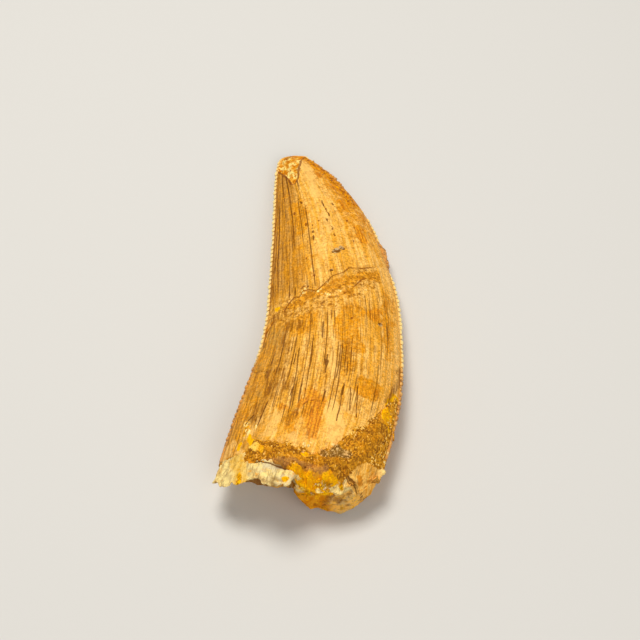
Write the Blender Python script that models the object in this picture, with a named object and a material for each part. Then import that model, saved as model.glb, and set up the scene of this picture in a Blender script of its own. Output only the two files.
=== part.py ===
"""Fossil tooth of a Carcharodontosaurus, lying on its side, with sand cemented to its broken root.

The crown is a flat blade between two saw-edged carinae, and it is swept from the base (t = 0)
to the tip (t = 1): at each t a lens section spans the chord from one carina to the other.
+Y is the way to the tip, +X is the convex mesial side, and the tooth rests on z = 0.
"""
import math

import bmesh
import bpy
import numpy as np
from mathutils import Vector
from mathutils.bvhtree import BVHTree

MM = 0.001

# Outline of the crown seen from above, in mm: distal base corner, up to the tip, down to the mesial one.
OUTLINE = np.array([
    (-9.88, -19.6), (-8.55, -14.3), (-7.0, -8.9), (-5.72, -3.9), (-5.14, 0.0), (-4.85, 5.3), (-4.63, 11.0),
    (-4.46, 17.3), (-4.36, 21.6), (-4.20, 23.5), (-3.75, 25.0),
    (-2.50, 26.0),
    (-0.75, 25.4), (1.40, 23.3), (3.60, 20.6), (6.62, 15.4), (8.80, 8.9), (10.16, 2.6), (10.48, -3.2),
    (10.44, -8.0), (9.92, -13.0), (8.40, -19.4)])
TIP_INDEX = 11
MIDDLE = np.array([0.07, 0.72]) * MM    # of the tooth's box in plan, which becomes the origin

# Lens section: thickness over width, at the base and at the tip.
BASE_RATIO = 0.485
TIP_RATIO = 0.42
UPPER_SHARE = 0.53        # of the thickness, above the carinae
RIDGE_SKEW = 0.10         # of the half width that the thickest line stands off to the mesial side
LENS_POWER = 0.8          # 0.5 would be an ellipse, and more is a sharper edge
TIP_LIFT = 0.8 * MM       # of the tip off the ground
SETTLE = 0.14 * MM        # worn off the lowest line, which is the face that the tooth rests on

# Saw edge: chisel-shaped denticles along both carinae.
DENTICLE_PITCH = 0.66 * MM
DENTICLE_HEIGHT = 0.32 * MM
BLADE_HALF = 0.30 * MM    # half the thickness where the denticles start
BLADE_SHARE = 0.25        # of the half width, which bounds it near the tip
DENTICLE_SHAPE = ((0.0, 0.0), (0.22, 1.0), (0.74, 0.9))    # place in one pitch, height

# Old break across the crown, mended: (x, y) in mm along the crack, from the mesial edge.
CRACK = np.array([(10.2, 8.4), (6.6, 6.2), (4.5, 5.4), (1.7, 2.4), (-1.2, 1.7), (-2.9, 0.7), (-5.6, 0.4)])
CRACK_WIDTH = 0.7 * MM
CRACK_DEPTH = 0.2 * MM
CRACK_STEP = 0.12 * MM    # of the tip half below the base half
STEP_RISE = 0.4 * MM      # the step is full this far past the crack
STEP_FADE = (1.0 * MM, 6.0 * MM)    # and has died out between these

# Chips and lumps of the mesial edge: y, and how far the edge stands out there, in mm.
MESIAL_WEAR = np.array([
    (-17.5, 0.0), (-15.6, -0.18), (-14.0, 0.0), (5.8, 0.0), (6.9, -0.22), (7.8, 0.1), (8.8, 0.15),
    (9.9, 0.38), (11.0, 0.0), (14.0, -0.05), (16.5, -0.24), (19.6, -0.24), (21.0, 0.0)])

# Worn tip: a chip in the upper face, shaped like a V that points to the base.
CHIP_APEX = (-2.4 * MM, 19.4 * MM)
CHIP_SPREAD = 0.45        # half width over distance from the apex
CHIP_DEPTH = 0.22 * MM
CHIP_WALL = 0.8 * MM      # width of the slope down into it

# Broken root: round the section from the mesial side (0) over the upper face (90) and the distal
# side (180) to the underside (270), each angle has the rim's y and how far it is rounded down, in mm.
RIM = np.array([
    (0, -21.7, 0.1), (21, -21.9, 0.7), (32, -22.3, 0.9), (43, -22.9, 1.5), (55, -23.4, 2.3),
    (65, -23.8, 2.8), (74, -23.4, 2.8), (82, -23.0, 2.2), (87, -23.9, 1.0), (91, -24.5, 0.2),
    (103, -24.6, 0.3), (110, -24.4, 0.2), (116, -23.8, 0.1), (125, -23.4, 0.3), (136, -23.7, 0.3),
    (149, -23.4, 0.3), (168, -22.6, 0.1), (180, -22.2, 0.0), (192, -21.6, 0.0), (223, -20.9, 0.0),
    (258, -20.7, -0.3), (267, -21.2, -0.3), (276, -22.1, 0.0), (287, -23.1, 0.0), (296, -23.8, 0.1),
    (304, -24.2, 0.3), (311, -24.0, 0.5), (332, -23.2, 0.4), (343, -22.2, 0.0), (360, -21.7, 0.1)])
ROOT_LEAN = -0.24         # sideways run of the root, over its length
ROOT_TAPER = 0.07
ROOT_ROUGHNESS = 0.28 * MM
ROOT_LUMPS = (1.6 * MM, 2.1 * MM)    # width of its bumps sideways and in height
LEVEL_FOOT = 0.12 * MM       # points lower than this lie on the ground
HOLLOW_FLOOR = -20.9 * MM    # Y of the bottom of the hollow under the upper wall
HOLLOW_SIDE = -2.3 * MM      # X where the stub begins to stand out of the hollow
STUB_FLANK = (3.5 * MM, 1.1 * MM)    # width of its flank at the ground, and the least width above
FLANK_LEAN = 0.6             # loss of that width with height
STUB_FOOT = -24.3 * MM       # Y of the stub's end at the ground
STUB_SLOPE = 0.1
END_ROUGHNESS = 0.5 * MM
END_LUMPS = 1.5 * MM
END_CENTRE = (-3.0 * MM, 4.2 * MM)    # X and Z that the rings of the broken end close on
END_RINGS = (0.13, 0.28, 0.45, 0.7)

# Crust of cemented sand on the root: x, lower edge y, upper edge y, thickness, in mm.
CRUST = np.array([
    (-7.0, -20.9, -19.8, 0.4), (-6.0, -21.4, -18.9, 0.55), (-4.0, -21.9, -19.5, 0.6),
    (-2.4, -22.6, -20.2, 0.7), (-1.2, -23.3, -20.6, 0.9), (0.6, -23.4, -20.9, 1.1),
    (2.2, -23.5, -20.6, 1.0), (3.4, -22.7, -19.4, 0.8), (5.0, -21.7, -18.4, 0.6),
    (6.6, -20.0, -16.6, 0.5), (7.8, -18.0, -14.6, 0.45), (8.7, -16.0, -13.2, 0.35)])
CRUST_GAP = 0.3 * MM      # clear depth of the bed it lies in
BED_EDGE = (-0.5 * MM, 0.1 * MM)    # over which the bed falls in, from outside to inside its border
STEEPEST = 0.4            # least upward part of a normal that the gap is measured along
DROP_HEIGHT = 30 * MM     # from which the grid is dropped onto the tooth
CRUST_LUMPS = 1.0 * MM    # width of the lumps on its top
LUMP_SHARE = 0.55         # how much they add to or take from the thickness
RAGGED = 0.35 * MM        # unevenness of its long borders
CRUST_COLUMNS = 40
CRUST_ROWS = 8

STATIONS = 56             # sections from the base to the tip
COLUMNS = 24              # faces across the upper face, and as many across the underside
ROOT_RINGS = 7


def smoothstep(low, high, value):
    """Rise from 0 at low to 1 at high, level at both ends."""
    share = np.clip((value - low) / (high - low), 0.0, 1.0)
    return share * share * (3.0 - 2.0 * share)


def noise(points, cell, seed):
    """Smooth random heights from -1 to 1, with bumps about one cell wide, wrapped every 16 cells."""
    size = 16
    lattice = np.random.default_rng(seed).uniform(-1.0, 1.0, (size, size, size))
    scaled = points / cell
    corner = np.floor(scaled).astype(int)
    part = smoothstep(0.0, 1.0, scaled - corner)
    total = np.zeros(points.shape[:-1])
    for dx in (0, 1):
        for dy in (0, 1):
            for dz in (0, 1):
                step = np.array((dx, dy, dz))
                weight = np.prod(np.where(step == 1, part, 1.0 - part), axis=-1)
                index = (corner + step) % size
                total += weight * lattice[index[..., 0], index[..., 1], index[..., 2]]
    return total


def curve_through(points, place):
    """Read the smooth curve through points at place, a chord length from the first point."""
    steps = np.linalg.norm(np.diff(points, axis=0), axis=1)
    knots = np.concatenate([[0.0], np.cumsum(steps)])
    slopes = np.gradient(points, knots, axis=0, edge_order=2)
    span = np.clip(np.searchsorted(knots, place, side="right") - 1, 0, len(steps) - 1)
    length = steps[span]
    share = ((place - knots[span]) / length)[..., None]
    length = length[..., None]
    rise = share * share * (3.0 - 2.0 * share)
    start = (1.0 - rise) * points[span] + rise * points[span + 1]
    lean_out = share * (1.0 - share) ** 2 * length * slopes[span]
    lean_in = share ** 2 * (share - 1.0) * length * slopes[span + 1]
    return start + lean_out + lean_in


def carina(t, side):
    """Plan position of the carina on side -1 (distal) or 1 (mesial), from base t = 0 to tip t = 1."""
    steps = np.linalg.norm(np.diff(OUTLINE, axis=0), axis=1)
    total = steps.sum()
    tip = steps[:TIP_INDEX].sum()
    place = tip * t if side < 0 else total - (total - tip) * t
    return curve_through(OUTLINE * MM, place * MM)


def chord(t):
    """Middle of the section at t, the half chord to the mesial side, and half the width."""
    distal, mesial = carina(t, -1), carina(t, 1)
    middle = (distal + mesial) / 2
    half = (mesial - distal) / 2
    width = np.linalg.norm(half, axis=-1)
    keep = np.maximum(width - DENTICLE_HEIGHT, 0.15 * width) / np.maximum(width, 1e-9)
    return middle, half * keep[..., None], width * keep


def carina_height(t, width):
    """Height of both carinae over the ground."""
    ratio = BASE_RATIO + (TIP_RATIO - BASE_RATIO) * t
    return 2 * width * ratio * (1 - UPPER_SHARE) + TIP_LIFT * smoothstep(0.45, 1.0, t) - SETTLE


def crack_relief(points):
    """Depth of the mended crack, with the tip half a little lower than the base half."""
    nearest = np.full(points.shape[:-1], np.inf)
    for start, end in zip(CRACK[:-1] * MM, CRACK[1:] * MM):
        run = end - start
        share = np.clip((points[..., :2] - start) @ run / (run @ run), 0.0, 1.0)
        foot = start + share[..., None] * run
        nearest = np.minimum(nearest, np.linalg.norm(points[..., :2] - foot, axis=-1))
    line = np.interp(points[..., 0], CRACK[::-1, 0] * MM, CRACK[::-1, 1] * MM)
    past = points[..., 1] - line
    step = smoothstep(0.0, STEP_RISE, past) * (1 - smoothstep(*STEP_FADE, past))
    return CRACK_DEPTH * (1 - smoothstep(0.0, CRACK_WIDTH, nearest)) + CRACK_STEP * step


def chip_relief(points):
    """Depth of the chip at the tip."""
    reach = points[..., 1] - CHIP_APEX[1]
    inside = reach * CHIP_SPREAD - np.abs(points[..., 0] - CHIP_APEX[0])
    return CHIP_DEPTH * smoothstep(0.0, CHIP_WALL, inside)


def crust_bed(points):
    """Depth of the bed that the crust of sand lies in, so that its border is level with the tooth."""
    low, high = (np.interp(points[..., 0] / MM, CRUST[:, 0], CRUST[:, n]) * MM for n in (1, 2))
    along = np.minimum(points[..., 0] / MM - CRUST[0, 0], CRUST[-1, 0] - points[..., 0] / MM) * MM
    inside = np.minimum(np.minimum(points[..., 1] - low, high - points[..., 1]), along)
    return CRUST_GAP * smoothstep(*BED_EDGE, inside)


def crown(t, across, face):
    """Point on the crown: across is -1 at the distal carina and 1 at the mesial one, and face is
    1 above and -1 below. The lens is (1 - across^2)^LENS_POWER high, cut flat at the ground."""
    middle, half, width = chord(t)
    ratio = BASE_RATIO + (TIP_RATIO - BASE_RATIO) * t
    share = UPPER_SHARE if face > 0 else 1 - UPPER_SHARE
    blade = np.minimum(BLADE_HALF, BLADE_SHARE * width)
    skewed = across - RIDGE_SKEW * (1 - across ** 2)
    fullness = (1 - skewed ** 2) ** LENS_POWER
    rise = blade + (2 * width * ratio * share - blade) * fullness
    height = carina_height(t, width) + face * rise
    point = np.concatenate([middle + half * across[..., None], height[..., None]], axis=-1)
    if face > 0:
        point[..., 2] -= (crack_relief(point) + chip_relief(point)) * (1 - across ** 2) + crust_bed(point)
    point[..., 2] = np.maximum(point[..., 2], 0.0)
    return point


def base_ring():
    """The section at t = 0 as one closed ring: mesial edge, upper face, distal edge, underside."""
    over = np.cos(np.linspace(0.0, math.pi, COLUMNS + 1))
    start = np.zeros_like(over)
    edges = saw_edge(1)[0][:1], saw_edge(-1)[0][:1]
    return np.concatenate([edges[0], crown(start, over, 1), edges[1], crown(start, -over, -1)])


def saw_edge(side):
    """Crest of the denticles along one carina, from the base to the tip, with its t values."""
    probe = np.linspace(0.0, 1.0, 400)
    edge = carina(probe, side)
    run = np.concatenate([[0.0], np.cumsum(np.linalg.norm(np.diff(edge, axis=0), axis=1))])
    count = int(run[-1] / DENTICLE_PITCH)
    place = np.array([(n + at) * DENTICLE_PITCH for n in range(1, count - 1) for at, _ in DENTICLE_SHAPE])
    height = np.array([h for _ in range(1, count - 1) for _, h in DENTICLE_SHAPE])
    t = np.concatenate([[0.0], np.interp(place, run, probe)])
    fresh = smoothstep(0.0, 0.12, t) * (1 - 0.75 * smoothstep(0.93, 0.99, t))
    height = 0.85 + (np.concatenate([[0.0], height]) - 0.85) * fresh
    middle, half, width = chord(t)
    direction = side * half / np.maximum(width, 1e-9)[:, None]
    stand = DENTICLE_HEIGHT * (0.2 + 0.8 * height)
    stand = np.minimum(stand, 0.5 * width)
    if side > 0:
        y = (middle[:, 1] + half[:, 1]) / MM
        stand = np.maximum(stand + np.interp(y, MESIAL_WEAR[:, 0], MESIAL_WEAR[:, 1]) * MM, 0.1 * stand)
    plan = middle + side * half + direction * stand[:, None]
    return np.concatenate([plan, carina_height(t, width)[:, None]], axis=1), t


def root_rings():
    """Rings from the base of the crown to the broken rim, then over the broken end to its middle."""
    base = base_ring()
    over = np.degrees(np.linspace(0.0, math.pi, COLUMNS + 1))
    angles = np.concatenate([[0.0], over, [180.0], over + 180.0])
    reach = np.interp(angles, RIM[:, 0], RIM[:, 1]) * MM - base[:, 1]
    rounded = np.interp(angles, RIM[:, 0], RIM[:, 2]) * MM
    upper = angles < 180
    middle_height = base[:, 2].mean()
    base[:, 2] += np.where(upper, crust_bed(base), 0.0)
    rings = []
    for share in np.linspace(0.0, 1.0, ROOT_RINGS + 1)[1:]:
        ring = base.copy()
        ring[:, 0] -= ROOT_LEAN * reach * share
        ring[:, 1] += reach * share
        ring[:, 2] = middle_height + (base[:, 2] - middle_height) * (1 - ROOT_TAPER * share)
        ring[:, 2] -= rounded * share ** 2 + np.where(upper, crust_bed(ring), 0.0)
        rough = ROOT_ROUGHNESS * smoothstep(0.0, 0.5, share)
        ring[:, 2] += rough * noise(ring, ROOT_LUMPS[1], 5)
        ring[:, 0] += rough * noise(ring, ROOT_LUMPS[0], 6)
        rings.append(ring)
    rim = rings[-1]
    for share in END_RINGS:
        ring = rim.copy()
        ring[:, 0] += (END_CENTRE[0] - rim[:, 0]) * share
        ring[:, 2] += (END_CENTRE[1] - rim[:, 2]) * share
        ring[:, 1] += (broken_end(ring) - rim[:, 1]) * smoothstep(0.0, 0.3, share)
        rings.append(ring)
    for ring in rings:
        ring[:, 2] = np.where(ring[:, 2] < LEVEL_FOOT, 0.0, ring[:, 2])
    return rings


def broken_end(points):
    """Y of the broken end over x and z: a sloping stub beside a hollow under the upper wall."""
    stub = STUB_FOOT + STUB_SLOPE * points[:, 2]
    flank = np.maximum(STUB_FLANK[0] - FLANK_LEAN * points[:, 2], STUB_FLANK[1])
    share = smoothstep(0.0, 1.0, (points[:, 0] - HOLLOW_SIDE) / flank)
    return HOLLOW_FLOOR + (stub - HOLLOW_FLOOR) * share + END_ROUGHNESS * noise(points, END_LUMPS, 8)


def zip_rows(first, first_t, second, second_t):
    """Triangles between two rows of vertex numbers with different counts, walked in order of t."""
    faces = []
    i = j = 0
    while i < len(first) - 1 or j < len(second) - 1:
        second_done = j == len(second) - 1
        if second_done or (i < len(first) - 1 and first_t[i + 1] <= second_t[j + 1]):
            faces.append((first[i], first[i + 1], second[j]))
            i += 1
        else:
            faces.append((first[i], second[j + 1], second[j]))
            j += 1
    return faces


def tooth_mesh():
    """Vertices and faces of the tooth: crown, saw edges, root and broken end in one closed skin."""
    t = 1.0 - (1.0 - np.linspace(0.0, 0.988, STATIONS)) ** 1.25
    over = np.cos(np.linspace(0.0, math.pi, COLUMNS + 1))
    t_grid, across = np.meshgrid(t, over, indexing="ij")
    upper = crown(t_grid, across, 1)
    under = crown(t_grid, -across, -1)
    mesial, mesial_t = saw_edge(1)
    distal, distal_t = saw_edge(-1)
    rings = root_rings()
    width = COLUMNS + 1
    blocks = [upper.reshape(-1, 3), under.reshape(-1, 3), mesial, distal, *rings]
    start = np.concatenate([[0], np.cumsum([len(block) for block in blocks])])
    upper_id = np.arange(start[0], start[1]).reshape(STATIONS, width)
    under_id = np.arange(start[1], start[2]).reshape(STATIONS, width)
    mesial_id = np.arange(start[2], start[3])
    distal_id = np.arange(start[3], start[4])
    tip_id = int(start[-1])
    end_id = tip_id + 1
    faces = []
    for grid in (upper_id, under_id):
        quads = np.stack([grid[:-1, :-1], grid[1:, :-1], grid[1:, 1:], grid[:-1, 1:]], axis=-1)
        faces += quads.reshape(-1, 4).tolist()
    faces += zip_rows(mesial_id, mesial_t, upper_id[:, 0], t)
    faces += zip_rows(under_id[:, -1], t, mesial_id, mesial_t)
    faces += zip_rows(upper_id[:, -1], t, distal_id, distal_t)
    faces += zip_rows(distal_id, distal_t, under_id[:, 0], t)
    last = [mesial_id[-1], *upper_id[-1], distal_id[-1], *under_id[-1]]
    faces += [(a, tip_id, b) for a, b in zip(last, last[1:] + last[:1])]
    ring_ids = [[mesial_id[0], *upper_id[0], distal_id[0], *under_id[0]]]
    ring_ids += [list(range(a, b)) for a, b in zip(start[4:-1], start[5:])]
    for near, far in zip(ring_ids[:-1], ring_ids[1:]):
        for a, b, c, d in zip(near, near[1:] + near[:1], far[1:] + far[:1], far):
            faces.append((a, b, c, d))
    faces += [(a, b, end_id) for a, b in zip(ring_ids[-1], ring_ids[-1][1:] + ring_ids[-1][:1])]
    tip = np.append(carina(np.array([1.0]), 1)[0], carina_height(np.array([1.0]), np.zeros(1))[0] + SETTLE)
    end = np.array([[END_CENTRE[0], 0.0, END_CENTRE[1]]])
    end[:, 1] = broken_end(end)
    return np.concatenate([*blocks, tip[None], end]), faces


def solid(name, vertices, faces, material):
    """One closed object: triangles, faces turned out, smooth except at sharp edges."""
    mesh = bpy.data.meshes.new(name)
    mesh.from_pydata(vertices.tolist(), [], [[int(i) for i in face] for face in faces])
    shape = bmesh.new()
    shape.from_mesh(mesh)
    bmesh.ops.triangulate(shape, faces=shape.faces)
    bmesh.ops.recalc_face_normals(shape, faces=shape.faces)
    if shape.calc_volume(signed=True) < 0:
        bmesh.ops.reverse_faces(shape, faces=shape.faces)
    shape.to_mesh(mesh)
    shape.free()
    mesh.shade_smooth()
    mesh.set_sharp_from_angle(angle=math.radians(35))
    mesh.materials.append(material)
    piece = bpy.data.objects.new(name, mesh)
    bpy.context.scene.collection.objects.link(piece)
    return piece


def crust_mesh(tooth):
    """Crust over the tooth: a grid in plan, dropped onto the tooth, with a lumpy rounded top."""
    tree = BVHTree.FromPolygons([v.co for v in tooth.data.vertices],
                                [tuple(face.vertices) for face in tooth.data.polygons])
    column = np.linspace(CRUST[0, 0], CRUST[-1, 0], CRUST_COLUMNS)
    low, high, thick = (np.interp(column, CRUST[:, 0], CRUST[:, n]) for n in (1, 2, 3))
    share = np.linspace(0.0, 1.0, CRUST_ROWS)
    x = np.repeat(column[:, None], CRUST_ROWS, axis=1)
    y = low[:, None] + (high - low)[:, None] * share
    plan = np.stack([x, y, np.zeros_like(x)], axis=-1) * MM
    ragged = RAGGED * noise(plan, 1.3 * CRUST_LUMPS, 11)
    plan[..., 1] += np.where((share == 0.0) | (share == 1.0), ragged, 0.0)
    lower = np.zeros_like(plan)
    for index in np.ndindex(x.shape):
        above = Vector((plan[index][0], plan[index][1], DROP_HEIGHT))
        hit, normal, _, _ = tree.ray_cast(above, Vector((0, 0, -1)))
        lower[index] = hit + Vector((0, 0, CRUST_GAP / max(normal.z, STEEPEST)))
    dome = 0.15 + 0.85 * np.sin(math.pi * share) ** 0.6
    ends = np.sin(math.pi * np.linspace(0.04, 0.96, CRUST_COLUMNS)) ** 0.35
    lump = 1 + LUMP_SHARE * noise(plan, CRUST_LUMPS, 12)
    upper = lower.copy()
    upper[..., 2] += thick[:, None] * MM * dome * ends[:, None] * lump
    vertices = np.concatenate([upper.reshape(-1, 3), lower.reshape(-1, 3)])
    top = np.arange(x.size).reshape(x.shape)
    quads = np.stack([top[:-1, :-1], top[1:, :-1], top[1:, 1:], top[:-1, 1:]], axis=-1)
    faces = quads.reshape(-1, 4).tolist()
    faces += [[i + x.size for i in reversed(face)] for face in faces]
    border = [*top[:-1, 0], *top[-1, :-1], *top[:0:-1, -1], *top[0, :0:-1]]
    faces += [(a, a + x.size, b + x.size, b) for a, b in zip(border, border[1:] + border[:1])]
    return vertices, faces


def finish_material(name, colour, roughness):
    """Principled material with one colour."""
    material = bpy.data.materials.new(name)
    material.use_nodes = True
    shader = material.node_tree.nodes["Principled BSDF"]
    shader.inputs["Base Color"].default_value = (*colour, 1.0)
    shader.inputs["Roughness"].default_value = roughness
    shader.inputs["Metallic"].default_value = 0.0
    return material


def main():
    for old in list(bpy.data.objects):
        bpy.data.objects.remove(old)
    enamel = finish_material("fossil_enamel", (0.55, 0.33, 0.13), 0.5)
    sand = finish_material("cemented_sand", (0.42, 0.25, 0.06), 0.9)
    vertices, faces = tooth_mesh()
    tooth = solid("tooth", vertices, faces, enamel)
    crust = solid("matrix_crust", *crust_mesh(tooth), sand)
    for piece in (tooth, crust):
        piece.location = (-MIDDLE[0], -MIDDLE[1], 0.0)
    print("tooth", len(tooth.data.polygons), "crust", len(crust.data.polygons),
          "size mm", np.round((vertices.max(axis=0) - vertices.min(axis=0)) / MM, 2),
          "middle mm", np.round((vertices.min(axis=0) + vertices.max(axis=0)) / 2 / MM, 3))


main()
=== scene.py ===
# %% [markdown]
# # A fossil tooth of Carcharodontosaurus
# The tooth lies on its side with the tip away from us. It is a flat, curved blade of cracked enamel
# with a saw edge down both sides, on a broken root of chalky dentine, and a crust of desert sand is
# cemented over the place where the two meet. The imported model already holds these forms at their
# real size, so this script loads it, works the same forms out again on much finer grids, and gives
# them their relief and their colours. All places are in millimetres, in the tooth's own plan: +Y to
# the tip, +X to the convex mesial edge, and z = 0 on the ground.

import bpy
import numpy as np
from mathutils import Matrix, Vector


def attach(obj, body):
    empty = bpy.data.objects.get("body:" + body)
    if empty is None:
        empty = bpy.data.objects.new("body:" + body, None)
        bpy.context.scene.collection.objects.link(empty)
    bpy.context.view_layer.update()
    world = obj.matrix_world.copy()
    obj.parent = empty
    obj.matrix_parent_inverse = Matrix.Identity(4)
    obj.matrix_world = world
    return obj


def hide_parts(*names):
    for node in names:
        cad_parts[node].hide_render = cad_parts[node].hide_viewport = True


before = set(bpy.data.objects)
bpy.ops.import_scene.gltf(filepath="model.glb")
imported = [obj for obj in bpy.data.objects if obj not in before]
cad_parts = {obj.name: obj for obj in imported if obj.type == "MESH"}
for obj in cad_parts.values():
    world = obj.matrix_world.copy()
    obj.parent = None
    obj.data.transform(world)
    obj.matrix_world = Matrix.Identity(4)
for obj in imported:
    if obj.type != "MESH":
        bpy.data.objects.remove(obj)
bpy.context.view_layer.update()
MM = 0.001
MIDDLE = np.array([0.07, 0.72, 0.0])    # of the outline's plan, which is the frame's origin


# %% [markdown]
# ## Small tools for shapes
# Every piece below is a surface over a grid of two parameters, worked out as whole numpy arrays.
# Three helpers serve them all: a smooth step, smooth random heights, and a curve through points.
# A polyline could do instead of the curve, but each of its corners would show as a flat facet.


# %% Smooth step, random heights and a smooth curve
LATTICE = 32              # cells a side before a pattern repeats
OCTAVE_SHARE = 0.55       # height of an octave over the one before
GRAIN_RADIUS = 0.85       # of a grain, over its cell


def smoothstep(low, high, value):
    """Rise from 0 at low to 1 at high along 3s^2 - 2s^3, level at both ends."""
    share = np.clip((value - low) / (high - low), 0.0, 1.0)
    return share * share * (3.0 - 2.0 * share)


def noise(points, cell, seed):
    """Smooth random heights from -1 to 1: random values on a repeating lattice, mixed between the
    eight lattice corners round each point. A cell may differ by axis."""
    lattice = np.random.default_rng(seed).uniform(-1.0, 1.0, (LATTICE, LATTICE, LATTICE))
    scaled = points / np.asarray(cell, float)
    corner = np.floor(scaled).astype(int)
    part = smoothstep(0.0, 1.0, scaled - corner)
    low = corner % LATTICE
    high = (corner + 1) % LATTICE
    total = 0.0
    for dx, ix in ((1 - part[..., 0], low[..., 0]), (part[..., 0], high[..., 0])):
        for dy, iy in ((1 - part[..., 1], low[..., 1]), (part[..., 1], high[..., 1])):
            for dz, iz in ((1 - part[..., 2], low[..., 2]), (part[..., 2], high[..., 2])):
                total = total + dx * dy * dz * lattice[ix, iy, iz]
    return total


def rough(points, cell, seed, octaves=3):
    """Noise on noise: each octave has half the cell of the one before and a lower height."""
    total = 0.0
    for octave in range(octaves):
        finer = np.asarray(cell, float) / 2 ** octave
        total = total + OCTAVE_SHARE ** octave * noise(points, finer, seed + octave)
    return total


def grains(points, cell, seed):
    """Rounded grains: nearest jittered lattice point among the 27 cells round each point. Gives the
    dome (1 in the middle of a grain, 0 at its rim) and the grain's own random number."""
    dice = np.random.default_rng(seed)
    jitter = dice.uniform(0.0, 1.0, (LATTICE, LATTICE, LATTICE, 3))
    own = dice.uniform(0.0, 1.0, (LATTICE, LATTICE, LATTICE))
    scaled = points / cell
    corner = np.floor(scaled).astype(int)
    best = np.full(points.shape[:-1], np.inf)
    number = np.zeros(points.shape[:-1])
    for step in np.ndindex(3, 3, 3):
        place = corner + np.array(step) - 1
        i, j, k = (place[..., n] % LATTICE for n in range(3))
        away = np.linalg.norm(place + jitter[i, j, k] - scaled, axis=-1)
        number = np.where(away < best, own[i, j, k], number)
        best = np.minimum(best, away)
    return np.sqrt(np.clip(1 - (best / GRAIN_RADIUS) ** 2, 0.0, 1.0)), number


def curve_through(points, place):
    """Smooth curve through points, read at place, a chord length from the first point."""
    steps = np.linalg.norm(np.diff(points, axis=0), axis=1)
    knots = np.concatenate([[0.0], np.cumsum(steps)])
    slopes = np.gradient(points, knots, axis=0, edge_order=2)
    span = np.clip(np.searchsorted(knots, place, side="right") - 1, 0, len(steps) - 1)
    length = steps[span]
    share = ((place - knots[span]) / length)[..., None]
    length = length[..., None]
    rise = share * share * (3.0 - 2.0 * share)
    start = (1.0 - rise) * points[span] + rise * points[span + 1]
    lean_out = share * (1.0 - share) ** 2 * length * slopes[span]
    lean_in = share ** 2 * (share - 1.0) * length * slopes[span + 1]
    return start + lean_out + lean_in


# %% [markdown]
# ## From arrays to a mesh
# A tube of closed rings makes most of the pieces. Blender's own spin or loft tools would make the
# same faces one operator at a time, and `foreach_set` takes the whole arrays at once. Each helper
# closes the shape, turns its faces outwards and keeps the masks that the materials read later.


# %% Closed meshes from grids
def add_piece(name, points, faces, masks, material, node):
    """Makes one object of closed faces: faces is a list of index arrays, of quads or triangles.
    The enclosed volume, summed over the faces' fans, says which way they turn."""
    volume = 0.0
    for block in faces:
        for k in range(1, block.shape[1] - 1):
            a, b, c = (points[block[:, n]] for n in (0, k, k + 1))
            volume += np.einsum("ij,ij->i", a, np.cross(b, c)).sum()
    if volume < 0:
        faces = [block[:, ::-1] for block in faces]
    corners = np.concatenate([block.ravel() for block in faces])
    sizes = np.concatenate([np.full(len(block), block.shape[1]) for block in faces])
    mesh = bpy.data.meshes.new(name)
    mesh.vertices.add(len(points))
    mesh.vertices.foreach_set("co", ((points - MIDDLE) * MM).ravel())
    mesh.loops.add(len(corners))
    mesh.loops.foreach_set("vertex_index", corners)
    mesh.polygons.add(len(sizes))
    mesh.polygons.foreach_set("loop_start", np.concatenate([[0], np.cumsum(sizes)[:-1]]))
    mesh.update(calc_edges=True)
    mesh.shade_smooth()
    for key, values in masks.items():
        kind = "FLOAT_VECTOR" if values.ndim == 2 else "FLOAT"
        field = "vector" if values.ndim == 2 else "value"
        mesh.attributes.new(key, kind, "POINT").data.foreach_set(field, values.ravel().astype(np.float32))
    mesh.materials.append(material)
    piece = bpy.data.objects.new(name, mesh)
    bpy.context.scene.collection.objects.link(piece)
    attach(piece, "root")
    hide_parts(node)
    print(f"{name}: {len(points)} points, {int((sizes - 2).sum())} triangles")


def tube(name, rings, masks, material, node):
    """Closed tube through a grid of rings (ring, place round it), with a fan over each end."""
    count, around = rings.shape[:2]
    index = np.arange(count * around).reshape(count, around)
    beside = np.roll(index, -1, axis=1)
    quads = np.stack([index[:-1], beside[:-1], beside[1:], index[1:]], axis=-1).reshape(-1, 4)
    ends = [count * around, count * around + 1]
    first = np.stack([beside[0], index[0], np.full(around, ends[0])], axis=-1)
    last = np.stack([index[-1], beside[-1], np.full(around, ends[1])], axis=-1)
    points = np.concatenate([rings.reshape(-1, 3), rings[[0, -1]].mean(axis=1)])
    full = {}
    for key, values in masks.items():
        flat = values.reshape(count * around, -1)
        full[key] = np.concatenate([flat, values[[0, -1]].mean(axis=1).reshape(2, -1)]).squeeze()
    add_piece(name, points, [quads, np.concatenate([first, last])], full, material, node)


def normals(rings, way):
    """Unit normals of a grid of rings: the cross product of the steps along and round it. way is 1
    where the rings go towards the tip and -1 where they go away from it."""
    around = np.roll(rings, -1, axis=1) - np.roll(rings, 1, axis=1)
    along = np.gradient(rings, axis=0)
    normal = way * np.cross(along, around)
    return normal / np.maximum(np.linalg.norm(normal, axis=-1, keepdims=True), 1e-12)


# %% [markdown]
# ## Masks: where a mark lies
# Cracks, stains and dirt have a place on the real tooth. Each is a stroke along a few points or a
# round patch, given in plan, and each becomes a number from 0 to 1 at every point of the mesh. A
# painted image could hold the same marks, but these stay sharp at any size and can be moved by hand.


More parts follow.
